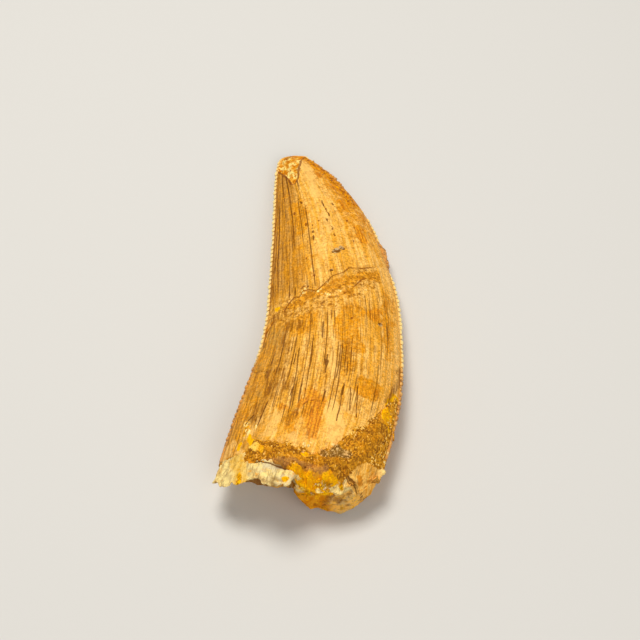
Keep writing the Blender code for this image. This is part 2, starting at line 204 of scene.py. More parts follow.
# %% Strokes and patches
def distance_to(points, path, waver=0.0, seed=0):
    """Distance in plan to the line through path. The points are first pushed about by noise as far
    as waver, so that the line isn't ruled."""
    plan = points[..., :2]
    if waver:
        plan = plan + waver * np.stack([noise(points, 0.9, seed), noise(points, 0.9, seed + 1)], axis=-1)
    nearest = np.full(plan.shape[:-1], np.inf)
    path = np.asarray(path, float)
    for start, end in zip(path[:-1], path[1:]):
        run = end - start
        share = np.clip((plan - start) @ run / max(run @ run, 1e-9), 0.0, 1.0)
        nearest = np.minimum(nearest, np.linalg.norm(plan - start - share[..., None] * run, axis=-1))
    return nearest


def stroke(points, path, width, waver=0.0, seed=0):
    """Nearness to the line through path: 1 on the line and 0 beyond width."""
    return 1.0 - smoothstep(0.0, width, distance_to(points, path, waver, seed))


def patch(points, x, y, wide, tall, turn=0.0, ragged=0.35, seed=0):
    """Soft ellipse in plan: 1 in the middle and 0 beyond its half sizes, turned by turn degrees,
    with its border pushed in and out by noise of up to the ragged share."""
    angle = np.radians(turn)
    dx = points[..., 0] - x
    dy = points[..., 1] - y
    across = (dx * np.cos(angle) + dy * np.sin(angle)) / wide
    along = (dy * np.cos(angle) - dx * np.sin(angle)) / tall
    away = np.hypot(across, along) + ragged * noise(points, 0.5 * min(wide, tall) + 0.3, seed)
    return 1.0 - smoothstep(0.45, 1.05, away)


def strongest(*masks):
    """The largest of several masks at each point."""
    return np.maximum.reduce(masks)


def patches(points, rows):
    """The strongest of many patches. A row holds what patch() takes, and the patch's share."""
    return strongest(*(patch(points, *row[:-1]) * row[-1] for row in rows))


def strokes(points, rows):
    """The strongest of many strokes. A row holds what stroke() takes, and the stroke's share."""
    return strongest(*(stroke(points, *row[:-1]) * row[-1] for row in rows))


def rough_share(points, cell, seed):
    """Patches of noise from 0 to 1, which break up a mark that would be even otherwise."""
    return smoothstep(-0.1, 0.45, rough(points, cell, seed))


# %% [markdown]
# ## The form of the crown
# The crown is a blade swept from the base (t = 0) to the tip (t = 1). At each t a lens section
# spans the chord between the two carinae, the sharp edges. These are the same outline and the same
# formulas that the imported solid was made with, so the finer surface lies on it. Subdividing the
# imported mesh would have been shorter, but its points are too few to carry the cracks.

# %% Outline and lens section of the crown
OUTLINE = np.array([      # up the distal edge to the tip, then down the mesial edge
    (-9.88, -19.6), (-8.55, -14.3), (-7.0, -8.9), (-5.72, -3.9), (-5.14, 0.0), (-4.85, 5.3),
    (-4.63, 11.0), (-4.46, 17.3), (-4.36, 21.6), (-4.20, 23.5), (-3.75, 25.0),
    (-2.50, 26.0),
    (-0.75, 25.4), (1.40, 23.3), (3.60, 20.6), (6.62, 15.4), (8.80, 8.9), (10.16, 2.6),
    (10.48, -3.2), (10.44, -8.0), (9.92, -13.0), (8.40, -19.4)])
TIP_INDEX = 11            # of the tip in the outline
BASE_RATIO = 0.485        # thickness over width at the base
TIP_RATIO = 0.42
UPPER_SHARE = 0.53        # of the thickness, above the carinae
RIDGE_SKEW = 0.10         # of the half width that the thickest line stands off to the mesial side
LENS_POWER = 0.8          # 0.5 would be an ellipse, and more is a sharper edge
TIP_LIFT = 0.8            # of the tip off the ground
SETTLE = 0.14             # worn off the lowest line, on which the tooth rests
DENTICLE_HEIGHT = 0.32
BLADE_HALF = 0.30         # half the thickness of the blunt strip that the denticles stand on
BLADE_SHARE = 0.25        # of the half width, which bounds it near the tip


def carina(t, side):
    """Plan position of the edge on side -1 (distal) or 1 (mesial), from base t = 0 to tip t = 1."""
    steps = np.linalg.norm(np.diff(OUTLINE, axis=0), axis=1)
    total = steps.sum()
    tip = steps[:TIP_INDEX].sum()
    place = tip * t if side < 0 else total - (total - tip) * t
    return curve_through(OUTLINE, place)


def chord(t):
    """Middle of the section at t, the half chord to the mesial side, and half the width."""
    distal, mesial = carina(t, -1), carina(t, 1)
    half = (mesial - distal) / 2
    width = np.linalg.norm(half, axis=-1)
    keep = np.maximum(width - DENTICLE_HEIGHT, 0.15 * width) / np.maximum(width, 1e-6)
    return (distal + mesial) / 2, half * keep[..., None], width * keep


def thickness(t):
    """Thickness over width of the section at t."""
    return BASE_RATIO + (TIP_RATIO - BASE_RATIO) * t


def blade_half(width):
    """Half the thickness of the blunt strip at an edge, where the blade has this half width."""
    return np.minimum(BLADE_HALF, BLADE_SHARE * width)


def carina_height(t, width):
    """Height of both edges over the ground: half the section, and the lift of the tip."""
    return 2 * width * thickness(t) * (1 - UPPER_SHARE) + TIP_LIFT * smoothstep(0.45, 1.0, t) - SETTLE


def crown(t, across, face):
    """Point on the crown: across runs from -1 at the distal edge to 1 at the mesial one, and face
    is 1 above and -1 below. The lens is (1 - across^2) to the power LENS_POWER high."""
    middle, half, width = chord(t)
    share = UPPER_SHARE if face > 0 else 1 - UPPER_SHARE
    blade = blade_half(width)
    skewed = across - RIDGE_SKEW * (1 - across ** 2)
    fullness = (1 - skewed ** 2) ** LENS_POWER
    rise = blade + (2 * width * thickness(t) * share - blade) * fullness
    height = carina_height(t, width) + face * rise
    return np.concatenate([middle + half * across[..., None], height[..., None]], axis=-1)


def blade_wall(t, side, count, reach):
    """The blunt strip between the two faces at an edge: it stands out by reach at mid height, as
    half a wave. It runs down on the distal side and up on the mesial one."""
    middle, half, width = chord(t)
    share = (np.arange(count) + 1) / (count + 1)
    out = side * half / np.maximum(width, 1e-6)[:, None]
    bulge = np.minimum(reach, 0.5 * width)[:, None] * np.sin(np.pi * share)
    plan = (middle + side * half)[:, None] + out[:, None] * bulge[..., None]
    blade = blade_half(width)[:, None]
    height = carina_height(t, width)[:, None] - side * blade * np.cos(np.pi * share)
    return np.concatenate([plan, height[..., None]], axis=-1)


def places_across(count):
    """Places across a face from 1 to -1, closer together near both edges."""
    even = np.linspace(1.0, -1.0, count)
    return 0.55 * even + 0.45 * np.cos(np.linspace(0.0, np.pi, count))


def section_rings(t, upper_count, under_count, wall_count, reach):
    """Rings round the tooth at each t: upper face, distal wall, underside, mesial wall. Also each
    point's place across (1 to -1) and whether it is on the upper face."""
    over = places_across(upper_count)
    under = -places_across(under_count)
    rings = np.concatenate([
        crown(*np.meshgrid(t, over, indexing="ij"), 1), blade_wall(t, -1, wall_count, reach),
        crown(*np.meshgrid(t, under, indexing="ij"), -1), blade_wall(t, 1, wall_count, reach)], axis=1)
    across = np.concatenate([over, np.full(wall_count, -1.0), under, np.full(wall_count, 1.0)])
    above = np.concatenate([np.ones(upper_count), np.linspace(1, 0, wall_count),
                            np.zeros(under_count), np.linspace(0, 1, wall_count)])
    return rings, across, above


print("crown width at the base", round(2 * float(chord(np.zeros(1))[2][0]), 2), "mm")

# %% [markdown]
# ## The form of the broken root
# Below the crown the root goes on to a broken rim, whose reach differs all the way round: a table
# of a few angles gives it, as on a polar chart. The rim then turns in over the broken end, a solid
# stub beside a hollow under the upper wall.

# %% Rim and end of the root
RIM = np.array([          # angle from the mesial edge over the top, y of the rim, its rounding down
    (0, -21.7, 0.1), (21, -21.9, 0.7), (32, -22.3, 0.9), (43, -22.9, 1.5), (55, -23.4, 2.3),
    (65, -23.8, 2.8), (74, -23.4, 2.8), (82, -23.0, 2.2), (87, -23.9, 1.0), (91, -24.5, 0.2),
    (103, -24.6, 0.3), (110, -24.4, 0.2), (116, -23.8, 0.1), (125, -23.4, 0.3), (136, -23.7, 0.3),
    (149, -23.4, 0.3), (168, -22.6, 0.1), (180, -22.2, 0.0), (192, -21.6, 0.0), (223, -20.9, 0.0),
    (258, -20.7, -0.3), (267, -21.2, -0.3), (276, -22.1, 0.0), (287, -23.1, 0.0), (296, -23.8, 0.1),
    (304, -24.2, 0.3), (311, -24.0, 0.5), (332, -23.2, 0.4), (343, -22.2, 0.0), (360, -21.7, 0.1)])
ROOT_LEAN = -0.24         # sideways step over step down the root
ROOT_TAPER = 0.07         # of its height that the root has lost at the rim
HOLLOW_FLOOR = -20.9
HOLLOW_SIDE = -2.3        # x where the stub begins to stand out of the hollow
STUB_FLANK = (3.5, 1.1)   # width of its flank at the ground, and the least width above
FLANK_LEAN = 0.6          # loss of that width with height
STUB_FOOT = -24.3         # y of the stub at the ground
STUB_SLOPE = 0.1
END_CENTRE = (-3.0, 4.2)  # x and z that the rings of the broken end close on
KNOB = np.array([7.9, -21.0, 4.1])     # a crumb on the mesial corner of the rim
NOTCH = np.array([7.3, -22.0, 4.2])    # and the dent beside it
ROOT_STATIONS = 64        # rings down the side of the root
END_STATIONS = 80         # and in over the broken end
CROWN_UPPER = 246         # columns of the upper face, of the underside and of each blunt edge
CROWN_UNDER = 62
WALL = 3
ROOT_BULGE = 0.27         # how far the blunt edge of the root stands out


def broken_end(points):
    """y of the broken end over x and z: a sloping stub beside a hollow under the upper wall."""
    stub = STUB_FOOT + STUB_SLOPE * points[..., 2]
    flank = np.maximum(STUB_FLANK[0] - FLANK_LEAN * points[..., 2], STUB_FLANK[1])
    share = smoothstep(0.0, 1.0, (points[..., 0] - HOLLOW_SIDE) / flank)
    return HOLLOW_FLOOR + (stub - HOLLOW_FLOOR) * share + 0.5 * noise(points, 1.5, 8)


def root_frame():
    """The section that the root starts from, its reach to the rim and how far each place of the
    rim is rounded down. The angle of a place is the arc cosine of its place across."""
    rings, across, above = section_rings(np.zeros(1), CROWN_UPPER, CROWN_UNDER, WALL, ROOT_BULGE)
    base = rings[0]
    turned = np.degrees(np.arccos(np.clip(across, -1, 1)))
    under = np.arange(len(across)) >= CROWN_UPPER + WALL
    angle = np.where(under, 360.0 - turned, turned)
    upper_wall = np.maximum(above, 0.35)
    jagged = 0.4 * noise(base, 0.55, 200) + 0.25 * noise(base, 1.4, 201) + 0.12 * noise(base, 0.25, 202)
    reach = np.interp(angle, RIM[:, 0], RIM[:, 1]) + jagged * upper_wall - base[:, 1]
    return base, reach, np.interp(angle, RIM[:, 0], RIM[:, 2])


def root_side(share):
    """Points down the side of the root: share runs from 0 at the crown to 1 at the rim. The root
    leans sideways, tapers to its middle height and is rounded down towards the rim."""
    base, reach, drop = root_frame()
    height = base[:, 2].mean()
    tapered = height + (base[:, 2] - height) * (1 - ROOT_TAPER * share)
    return np.stack([base[:, 0] - ROOT_LEAN * reach * share, base[:, 1] + reach * share,
                     tapered - drop * share ** 2], axis=-1)


print("longest reach of the root", round(float(-root_frame()[1].min()), 2), "mm")

# %% [markdown]
# ## Placed damage of the crown
# The old break across the middle was mended long ago. It left a thin dark line and, below it, a
# worn band with smears of glue and sand. The tip is chipped in a V, and the mesial edge is gritty
# beside it. Hairline drying cracks run with the grain from base to tip, some marks are rows of
# dots, pits go through the enamel, and pale flakes cling above the crust. Their places are named
# here once, because the relief of the mesh and the colour of the enamel both read them.

# %% Places of the break, the chip and the cracks
BREAK = [(10.2, 8.4), (8.2, 6.6), (6.6, 5.7), (5.6, 5.3), (4.4, 5.1), (3.8, 4.4), (2.4, 3.6),
         (1.6, 2.7), (0.6, 1.8), (-0.2, 2.2), (-0.8, 2.1), (-1.2, 1.4), (-1.9, 1.6), (-2.1, 1.3),
         (-2.5, 0.9), (-3.0, -0.2)]
BREAK_DEPTH = 0.16
BREAK_STEP = 0.12         # of the tip half below the base half
STEP_RISE = 0.35          # the step is full this far past the break
STEP_FADE = (1.0, 6.0)    # and has died out between these
MENDED = [(-3.0, -0.4), (-1.4, 0.0), (0.5, 0.2), (2.5, 0.8), (4.5, 2.0), (6.4, 4.0)]
FILLER = [(7.6, 4.6), (6.0, 4.1), (4.5, 3.2), (2.2, 1.9), (0.2, 1.4), (-1.2, 0.7), (-2.6, 0.2)]
CHIP = [(-5.2, 22.9), (-4.0, 22.4), (-3.2, 21.2), (-2.7, 20.2), (-2.4, 19.4), (-1.9, 19.5),
        (-1.5, 20.4), (-1.45, 21.6), (-1.4, 22.8), (-1.0, 24.1), (0.2, 27.0)]
CHIP_DEPTH = 0.3
CROSS_CRACKS = [[(-6.6, -7.8), (-5.6, -8.2), (-4.6, -9.1)], [(-0.8, -14.8), (-0.2, -14.3), (0.5, -14.3)],
                [(6.4, 3.8), (5.8, 3.3), (5.3, 2.6), (4.8, 2.1)],
                [(-1.2, 2.6), (-0.8, 2.9), (-0.3, 2.8), (0.2, 2.4)],
                [(-4.2, -1.2), (-4.7, -2.0), (-5.2, -2.9)]]
DASHES = [[(3.55, -12.6), (3.4, -14.2), (2.9, -17.0)], [(3.75, -12.0), (3.6, -13.6)],
          [(-1.8, -12.2), (-2.2, -13.4)], [(-1.6, -7.2), (-1.8, -8.9)], [(1.95, -7.9), (1.7, -10.6)],
          [(4.5, -12.4), (4.3, -15.4)], [(1.7, -13.1), (1.4, -14.6)], [(-4.6, -13.4), (-5.7, -16.6)],
          [(5.3, -12.0), (5.0, -16.2)], [(-6.1, -14.9), (-6.6, -15.4), (-7.0, -15.9)]]
DOTTED = [[(1.3, 15.9), (1.6, 15.0), (1.9, 14.1), (2.2, 13.3)], [(2.6, 15.6), (3.0, 15.0), (3.3, 14.4)],
          [(1.9, 12.8), (2.4, 11.6), (2.7, 10.6), (3.0, 9.4)], [(0.2, 12.0), (0.4, 9.9), (0.6, 8.0)],
          [(-1.6, 17.0), (-1.4, 16.5), (-1.1, 15.9)]]
LONG_PIT = (1.85, -9.2, 0.26, 0.65, 0, 0.6, 77)
PITS = [(2.95, 7.8, 0.9, 0.45), (3.6, 8.2, 0.5, 0.4), (2.4, 4.8, 0.3, 0.22), (7.9, -2.6, 0.3, 0.35)]
SPECK_HALF = (0.16, 0.24)
SPECKS = [(1.6, -13.5), (-0.5, 6.9), (0.4, 4.2), (0.9, 12.6), (-1.3, 4.9), (4.7, -2.6), (-2.4, 2.1),
          (3.9, 1.2), (-1.9, 14.4), (-0.6, 12.2), (4.3, 12.8), (5.0, 9.5), (-3.2, 6.2),
          (7.2, -6.1), (5.6, -9.9)]
GLUE = [[(-2.6, 0.5), (-2.2, 0.9), (-1.6, 1.1), (-0.8, 1.8), (-0.2, 1.8), (0.6, 1.4), (1.3, 1.7),
         (1.8, 2.4)], [(-1.0, 2.0), (-0.7, 2.3), (-0.4, 2.5)],
        [(4.2, 1.4), (3.1, 1.2), (2.2, 0.7), (1.3, 0.9)], [(6.3, 2.0), (6.1, 1.8)],
        [(-6.5, -15.8), (-7.1, -16.5), (-7.4, -17.3)], [(-5.7, -16.4), (-6.2, -17.2), (-6.8, -17.8)]]
FLAKES = (-6.6, -16.7, 0.9, 1.7, 15, 0.7, 174)
FEW_HAIRLINES = (4.5, -3.4, 1.8, 5.0, 0, 0.5, 173)     # sound amber enamel
GRITTY_EDGE = [(-0.2, 24.4), (1.2, 22.4), (3.0, 20.0), (4.3, 18.0), (5.2, 16.4)]


def mended_band(points):
    """The worn band below the mended break, from 0 to 1."""
    return smoothstep(0.0, 0.6, stroke(points, MENDED, 2.7, 0.5, 92))


def break_relief(points, across):
    """Depth of the mended break: a groove along it, and beyond it the tip half a step lower."""
    path = np.array(BREAK)[::-1]
    past = points[..., 1] - np.interp(points[..., 0], path[:, 0], path[:, 1])
    step = smoothstep(0.0, STEP_RISE, past) * (1 - smoothstep(*STEP_FADE, past))
    step = step * smoothstep(-5.0, -2.6, points[..., 0])
    groove = stroke(points, BREAK, 0.22, 0.1, 21)
    return BREAK_DEPTH * groove + BREAK_STEP * step * (1 - across ** 2)


def chip_inside(points):
    """How far beyond the V-shaped border of the tip's chip a point lies, in mm, with a ragged
    border: the distance to the border, positive on the tip's side."""
    path = np.array(CHIP)
    beyond = np.sign(points[..., 1] - np.interp(points[..., 0], path[:, 0], path[:, 1]))
    return beyond * distance_to(points, path) + 0.12 * rough(points, 0.6, 31)


def pit_mask(points):
    """Nearness to the pits that go through the enamel."""
    return strongest(*(patch(points, x, y, wide, tall, 0, 0.4, 40 + n)
                       for n, (x, y, wide, tall) in enumerate(PITS)))


# %% [markdown]
# ## Grain of the enamel
# Enamel dries into long splinters, so its cracks and low flutes run along the blade and close up
# towards the tip. Coordinates that run with the blade make this simple: one number along it in
# millimetres and one across it that keeps its value from base to tip. Noise that is stretched
# along the first number gives flutes, and thin lines where it crosses zero give hairline cracks.

# %% Coordinates that run with the grain, and hairline cracks on them
CROWN_LENGTH = 46.0       # along the middle of the blade, in mm
BASE_HALF_WIDTH = 9.5
GRAIN_SHIFT = 0.18        # of the half width, at the base
ASIDE = 31.0              # mm between the grain of the upper face and that of the underside


def grain_run(t, across, above):
    """Place along and across the grain in mm, as if the blade kept its base width. Towards the base
    the grain of the middle runs straighter than the blade, which widens to the distal side. The
    underside is set off sideways, so that it doesn't repeat the upper face."""
    aside = np.where(above > 0.5, 0.0, ASIDE)
    straighter = GRAIN_SHIFT * smoothstep(0.65, 0.0, t) * (1 - across ** 2)
    sideways = (across - straighter) * BASE_HALF_WIDTH + aside
    along, sideways, height = np.broadcast_arrays(t * CROWN_LENGTH, sideways, 0.0)
    return np.stack([along, sideways, height], axis=-1)


def grain_lines(run, scale, spacing, length, width, seed):
    """Long lines along the grain. Each strip of the given spacing holds one line at its own random
    place. Slow noise sways the strips, and each line fades in and out along its length. The value
    falls evenly from the line to width beside it, so the material can cut it as thin as it likes.
    scale is the blade's width over its base width, which keeps the lines' own width in mm."""
    sway = 0.5 * noise(run, (15.0, 3.0, 1.0), seed) + 0.1 * noise(run, (3.0, 1.2, 1.0), seed + 1)
    strip = run[..., 1] / spacing + sway
    number = np.floor(strip)
    dice = np.random.default_rng(seed)
    centre = dice.uniform(0.25, 0.75, 512)[number.astype(int) % 512]
    away = np.abs(strip - number - centre) * spacing * scale
    along = np.stack([run[..., 0] / length, number * 3.7, np.zeros_like(number)], axis=-1)
    strength = smoothstep(-0.15, 0.55, noise(along, 1.0, seed + 2))
    return np.clip(1 - away / width, 0.0, 1.0) * strength


# %% Rings of the crown
CROWN_STATIONS = 292
SKIRT_STATIONS = 14       # the enamel's skirt over the top of the root
SKIRT = 1.5               # its length in mm under the crust; the distal corner has nearly none
CROWN_BULGE = 0.12        # how far the blunt edge stands out between the denticles
spread = np.linspace(0.0, 0.992, CROWN_STATIONS)
crown_t = 1.0 - (1.0 - spread) ** 1.2
crown_rings, crown_across, crown_above = section_rings(crown_t, CROWN_UPPER, CROWN_UNDER, WALL,
                                                       CROWN_BULGE)
skirt_base, skirt_reach, _ = root_frame()
skirt = SKIRT * (0.15 + 0.85 * smoothstep(-6.6, -4.6, skirt_base[:, 0]))
skirt = np.maximum(skirt + 0.35 * rough(skirt_base, 0.8, 45), 0.12) / -skirt_reach
skirt_rings = root_side(skirt * np.linspace(1.0, 1.0 / SKIRT_STATIONS, SKIRT_STATIONS)[:, None])
crown_rings = np.concatenate([skirt_rings, crown_rings])
skirt_t = np.linspace(-SKIRT, -SKIRT / SKIRT_STATIONS, SKIRT_STATIONS) / CROWN_LENGTH
crown_t = np.concatenate([skirt_t, crown_t])
print("spacing mm: along", round(CROWN_LENGTH / CROWN_STATIONS, 3),
      "across", round(2 * BASE_HALF_WIDTH / CROWN_UPPER, 3))

# %% [markdown]
# ## Relief of the crown
# The smooth lens comes first, then each kind of relief is pushed in along the surface's normal:
# slow hollows, flutes, hairline cracks, the break, the chip and the pits. A bump in the material
# would shade the same, but it would leave the outline smooth and the mesh without its damage.


# %% Push the relief into the crown
def hairline_mask(rings, run, t, across):
    """Hairline cracks in three sizes: two dense ones below the middle of the crown and a long one on
    its distal side. They thin out near both edges, near the base and in the mended band."""
    scale = np.maximum(chord(np.clip(t, 0.0, 1.0))[2] / BASE_HALF_WIDTH, 0.2)[:, None]
    left = smoothstep(0.0, -0.3, across)[None] * smoothstep(0.4, 0.5, t)[:, None]
    left = left * smoothstep(0.99, 0.93, t)[:, None]
    low = smoothstep(0.58, 0.46, t)[:, None] * smoothstep(0.98, 0.8, across)[None]
    low = low * (0.4 + 0.6 * smoothstep(-0.88, -0.7, across)[None])
    low = low * (0.5 + 0.5 * smoothstep(-18.0, -14.0, rings[..., 1]))
    hair = strongest(grain_lines(run, scale, 0.55, 6.0, 0.16, 50) * low,
                     grain_lines(run, scale, 0.8, 3.0, 0.2, 55) * low,
                     grain_lines(run, scale, 0.9, 8.0, 0.17, 60) * np.maximum(left, 0.1))
    hair = hair * (1 - 0.2 * smoothstep(0.3, 0.6, across))[None]
    hair = hair * (1 - 0.85 * mended_band(rings))
    return hair * (1 - 0.6 * patch(rings, *FEW_HAIRLINES))


def crown_marks(rings, t, across, above):
    """Masks of the crown's damage, each from 0 to 1, and the coordinates along the grain."""
    run = grain_run(t[:, None], across[None], above[None])
    flat = np.ones_like(t)[:, None] * above[None]
    dash = strongest(*(stroke(rings, path, 0.14, 0.06, 70) for path in DASHES), patch(rings, *LONG_PIT))
    dotted = strongest(*(stroke(rings, path, 0.26, 0.1, 71) for path in DOTTED))
    dash = np.maximum(dash, dotted * (0.35 + 0.6 * rough_share(rings, 0.35, 72)))
    cross = strongest(*(stroke(rings, path, 0.16, 0.2, 75) for path in CROSS_CRACKS),
                      *(patch(rings, x, y, *SPECK_HALF, 0, 0.6, 76) for x, y in SPECKS))
    beyond = chip_inside(rings)
    groove = stroke(rings, BREAK, 0.2, 0.12, 21) * smoothstep(8.6, 6.6, rings[..., 0])
    glue = strongest(*(stroke(rings, path, 0.4, 0.3, 78) for path in GLUE), patch(rings, *FLAKES) * 0.9)
    marks = {"dash": dash, "cross": cross, "pit": pit_mask(rings),
             "chip": smoothstep(0.0, 0.4, beyond),
             "chip_rim": 1 - smoothstep(0.05, 0.24, np.abs(beyond - 0.08)),
             "groove": groove, "glue": glue * rough_share(rings, 0.35, 79),
             "grit": stroke(rings, GRITTY_EDGE, 1.5, 0.4, 90)}
    marks = {name: mask * flat for name, mask in marks.items()}
    marks.update(run=run, hair=hairline_mask(rings, run, t, across))
    return marks


def crown_relief(rings, marks, across, above):
    """Height of the relief in mm: the sum of the slow hollows, flutes and damage."""
    run = marks["run"]
    slow = 0.05 * noise(rings, 3.2, 80) + 0.03 * rough(rings, 1.3, 81)
    flutes = 0.02 * noise(run, (9.0, 0.55, 1.0), 84) + 0.014 * noise(run, (5.0, 0.28, 1.0), 85)
    fine = 0.01 * rough(rings, 0.45, 86)
    cuts = 0.045 * marks["hair"] + 0.08 * marks["dash"] + 0.09 * marks["cross"] + 0.16 * marks["pit"]
    inner = 0.11 * rough(rings, 0.6, 88) * marks["chip"] + 0.12 * rough(rings, 0.4, 89) * marks["grit"]
    inner = inner + 0.1 * marks["glue"]
    damage = CHIP_DEPTH * marks["chip"] + break_relief(rings, across[None]) * above[None]
    edge = smoothstep(1.0, 0.93, np.abs(across))[None]
    return (slow + flutes + fine - cuts - damage + inner) * (0.25 + 0.75 * edge)


crown_masks = crown_marks(crown_rings, crown_t, crown_across, crown_above)
crown_height = crown_relief(crown_rings, crown_masks, crown_across, crown_above)
tip_calm = smoothstep(1.0, 0.97, crown_t)[:, None]
crown_skin = crown_rings + normals(crown_rings, 1) * (crown_height * (0.3 + 0.7 * tip_calm))[..., None]
crown_skin[..., 2] = np.maximum(crown_skin[..., 2], 0.0)
print("relief mm", round(float(crown_height.min()), 3), "to", round(float(crown_height.max()), 3))

# %% [markdown]
# ## Where the enamel is stained
# Iron in the ground water has stained the enamel from pale cream to deep orange, and splinters of it
# are darker than others. Each stain is a few strokes and patches, and a wedge of rust at the foot of
# the crown has borders of its own. The material then frays every border with noise, so a mask only
# has to be roughly the right shape. Tables keep the places together, where they are easy to move.


# %% Places of the stains
FILLER_STROKE = (FILLER, 1.2, 0.5, 100)
TONGUE = (2.6, -17.4, 1.2, 3.8, 4, 0.2, 112)    # clean cream enamel that reaches down to the sand
BESIDE_TONGUE = (0.6, -17.4, 0.9, 1.6, 0, 0.3, 101)
CRAZED = (4.4, -8.6, 1.5, 3.8, 0, 0.5, 131)
AMBER_PATCHES = [
    (0.4, -16.4, 1.5, 2.9, 0, 0.4, 101, 1.3), (4.2, -8.5, 0.9, 3.2, 0, 0.5, 102, 0.8),
    (-2.0, -17.2, 1.0, 2.6, -8, 0.7, 170, 0.9), (4.6, -3.6, 2.2, 5.0, 4, 0.6, 103, 0.8),
    (6.3, -12.4, 1.7, 1.9, 0, 0.8, 104, 1.1), (-1.4, 13.5, 1.6, 5.0, 8, 0.6, 105, 0.75),
    (-1.0, 5.4, 2.2, 2.6, 0, 0.6, 106, 0.45), (-0.6, -3.4, 2.4, 2.2, 0, 0.6, 107, 0.7),
    (-6.9, -13.6, 1.1, 2.2, -20, 0.6, 109, 0.9), (8.6, -2.0, 1.0, 6.0, 0, 0.6, 108, 0.7)]
CREAM_STROKES = [([(-1.0, 23.6), (-0.2, 20.6), (0.6, 17.0)], 1.2, 0.3, 110, 1.0),
                 ([(-5.4, -15.9), (-6.2, -16.8), (-6.9, -17.9)], 0.8, 0.4, 118, 1.0)]
CREAM_PATCHES = [
    (*TONGUE, 1.5), (2.0, 12.0, 0.75, 2.8, 12, 0.4, 111, 1.0),
    (2.6, -9.6, 0.6, 3.2, 0, 0.4, 113, 1.0), (-4.0, -17.2, 0.9, 1.9, -20, 0.9, 114, 0.7),
    (-1.7, -19.0, 0.7, 0.8, 0, 0.5, 117, 0.8), (4.4, -14.6, 0.8, 2.6, 0, 0.5, 115, 1.0),
    (-9.0, -18.9, 1.8, 1.5, -20, 0.6, 116, 1.0)]
BROWN_STROKES = [([(-4.8, -13.8), (-5.4, -15.2), (-6.6, -17.0)], 0.4, 0.3, 129, 0.8),
                 ([(-4.2, -0.4), (-4.9, -2.6), (-5.5, -4.4)], 0.7, 0.2, 124, 1.0),
                 ([(8.9, 10.4), (9.3, 8.4), (9.3, 7.2)], 0.6, 0.25, 126, 0.8)]
BROWN_PATCHES = [
    (-3.8, -10.2, 1.3, 2.8, -20, 0.6, 120, 1.1), (-2.7, -11.9, 1.1, 1.9, 0, 0.7, 121, 0.9),
    (-2.7, -6.0, 0.7, 2.8, 0, 0.7, 122, 0.8), (-2.2, -16.6, 0.9, 2.3, -10, 0.8, 171, 0.75),
    (-3.3, -0.9, 0.9, 1.0, 0, 0.6, 123, 1.0), (-1.9, -3.0, 1.5, 1.2, 0, 0.7, 137, 0.85),
    (-6.2, -14.8, 0.7, 2.4, -20, 0.6, 127, 0.9), (-6.3, -15.6, 0.5, 0.8, 10, 0.7, 136, 1.3),
    (1.7, -11.0, 0.35, 2.4, 0, 0.5, 128, 0.7)]
RUSTY_STROKES = [([(-4.4, -1.3), (-5.1, -2.6), (-5.6, -4.2)], 0.5, 0.2, 155, 1.0)]
RUSTY_PATCHES = [
    (-1.2, -14.9, 1.2, 1.0, 20, 0.5, 151, 1.0), (0.9, 21.0, 0.45, 1.0, 20, 0.6, 157, 1.1),
    (2.8, 19.2, 0.6, 1.6, 24, 0.7, 158, 1.1), (3.9, 15.4, 0.6, 1.9, 16, 0.7, 159, 1.1),
    (6.0, 10.6, 0.8, 1.4, 20, 0.8, 160, 1.0), (6.2, -12.4, 1.3, 1.4, 0, 0.9, 152, 0.55),
    (7.4, -1.6, 0.9, 1.3, 0, 0.6, 153, 0.8), (-3.0, -14.8, 0.9, 0.7, 10, 0.6, 154, 0.7)]
OCHRE_PATCHES = [
    (8.8, -14.2, 1.0, 3.0, -8, 0.5, 140, 1.0), (-6.0, -18.9, 0.7, 1.7, 40, 0.5, 141, 1.0),
    (-7.5, -18.4, 0.6, 1.2, -30, 0.8, 172, 0.85), (-3.8, 0.6, 0.5, 0.45, 0, 0.5, 142, 0.9)]
EDGE_STAIN = [(10.1, -7.6), (9.8, -9.6), (9.2, -11.4), (8.3, -13.0)]
SAND_LINE = np.array([(-9.5, -21.4), (-6.6, -20.6), (-6.1, -18.4), (-5.1, -19.0), (-3.7, -19.6),
                      (-1.0, -20.4), (0.9, -20.8), (2.5, -20.7), (3.5, -19.3), (4.9, -17.7),
                      (6.3, -16.1), (7.9, -14.1), (9.3, -12.2), (10.4, -10.8)])


# %% Stains of the crown
def rust_wedge(points):
    """The rusty wedge at the foot of the crown, between four borders. Noise pushes them about, but
    for the one beside the tongue, which is sharp."""
    x, y = points[..., 0], points[..., 1]
    ragged = 0.5 * rough(points, 0.8, 150)
    wedge = smoothstep(-1.5, 0.6, x + ragged) * smoothstep(0.1, -0.25, x - 1.8 - 0.2 * (y + 14.4))
    wedge = wedge * smoothstep(-20.2, -18.9, y + ragged)
    wedge = wedge * smoothstep(-12.6, -15.0, y + 0.6 * (x - 1.7) + ragged)
    return wedge * (0.8 + 0.4 * rough_share(points, (0.5, 1.6, 1.0), 156))


def dry_mask(points, t, across, band, mended):
    """How dry and splintery the enamel is: least in the filler, the mended band and the tongue."""
    lower = smoothstep(0.6, 0.48, t) * smoothstep(0.98, 0.8, across)
    dry = strongest(band * 0.9, lower * (0.4 + 0.6 * smoothstep(-18.0, -13.0, points[..., 1])),
                    smoothstep(-0.15, -0.4, across) * smoothstep(0.4, 0.5, t),
                    np.full(points.shape[:-1], 0.35))
    clean = strongest(stroke(points, *FILLER_STROKE), mended, patch(points, *TONGUE),
                      patch(points, *BESIDE_TONGUE) * 0.6)
    return dry * (1 - 0.75 * clean) * (1 - 0.2 * smoothstep(0.3, 0.6, across))


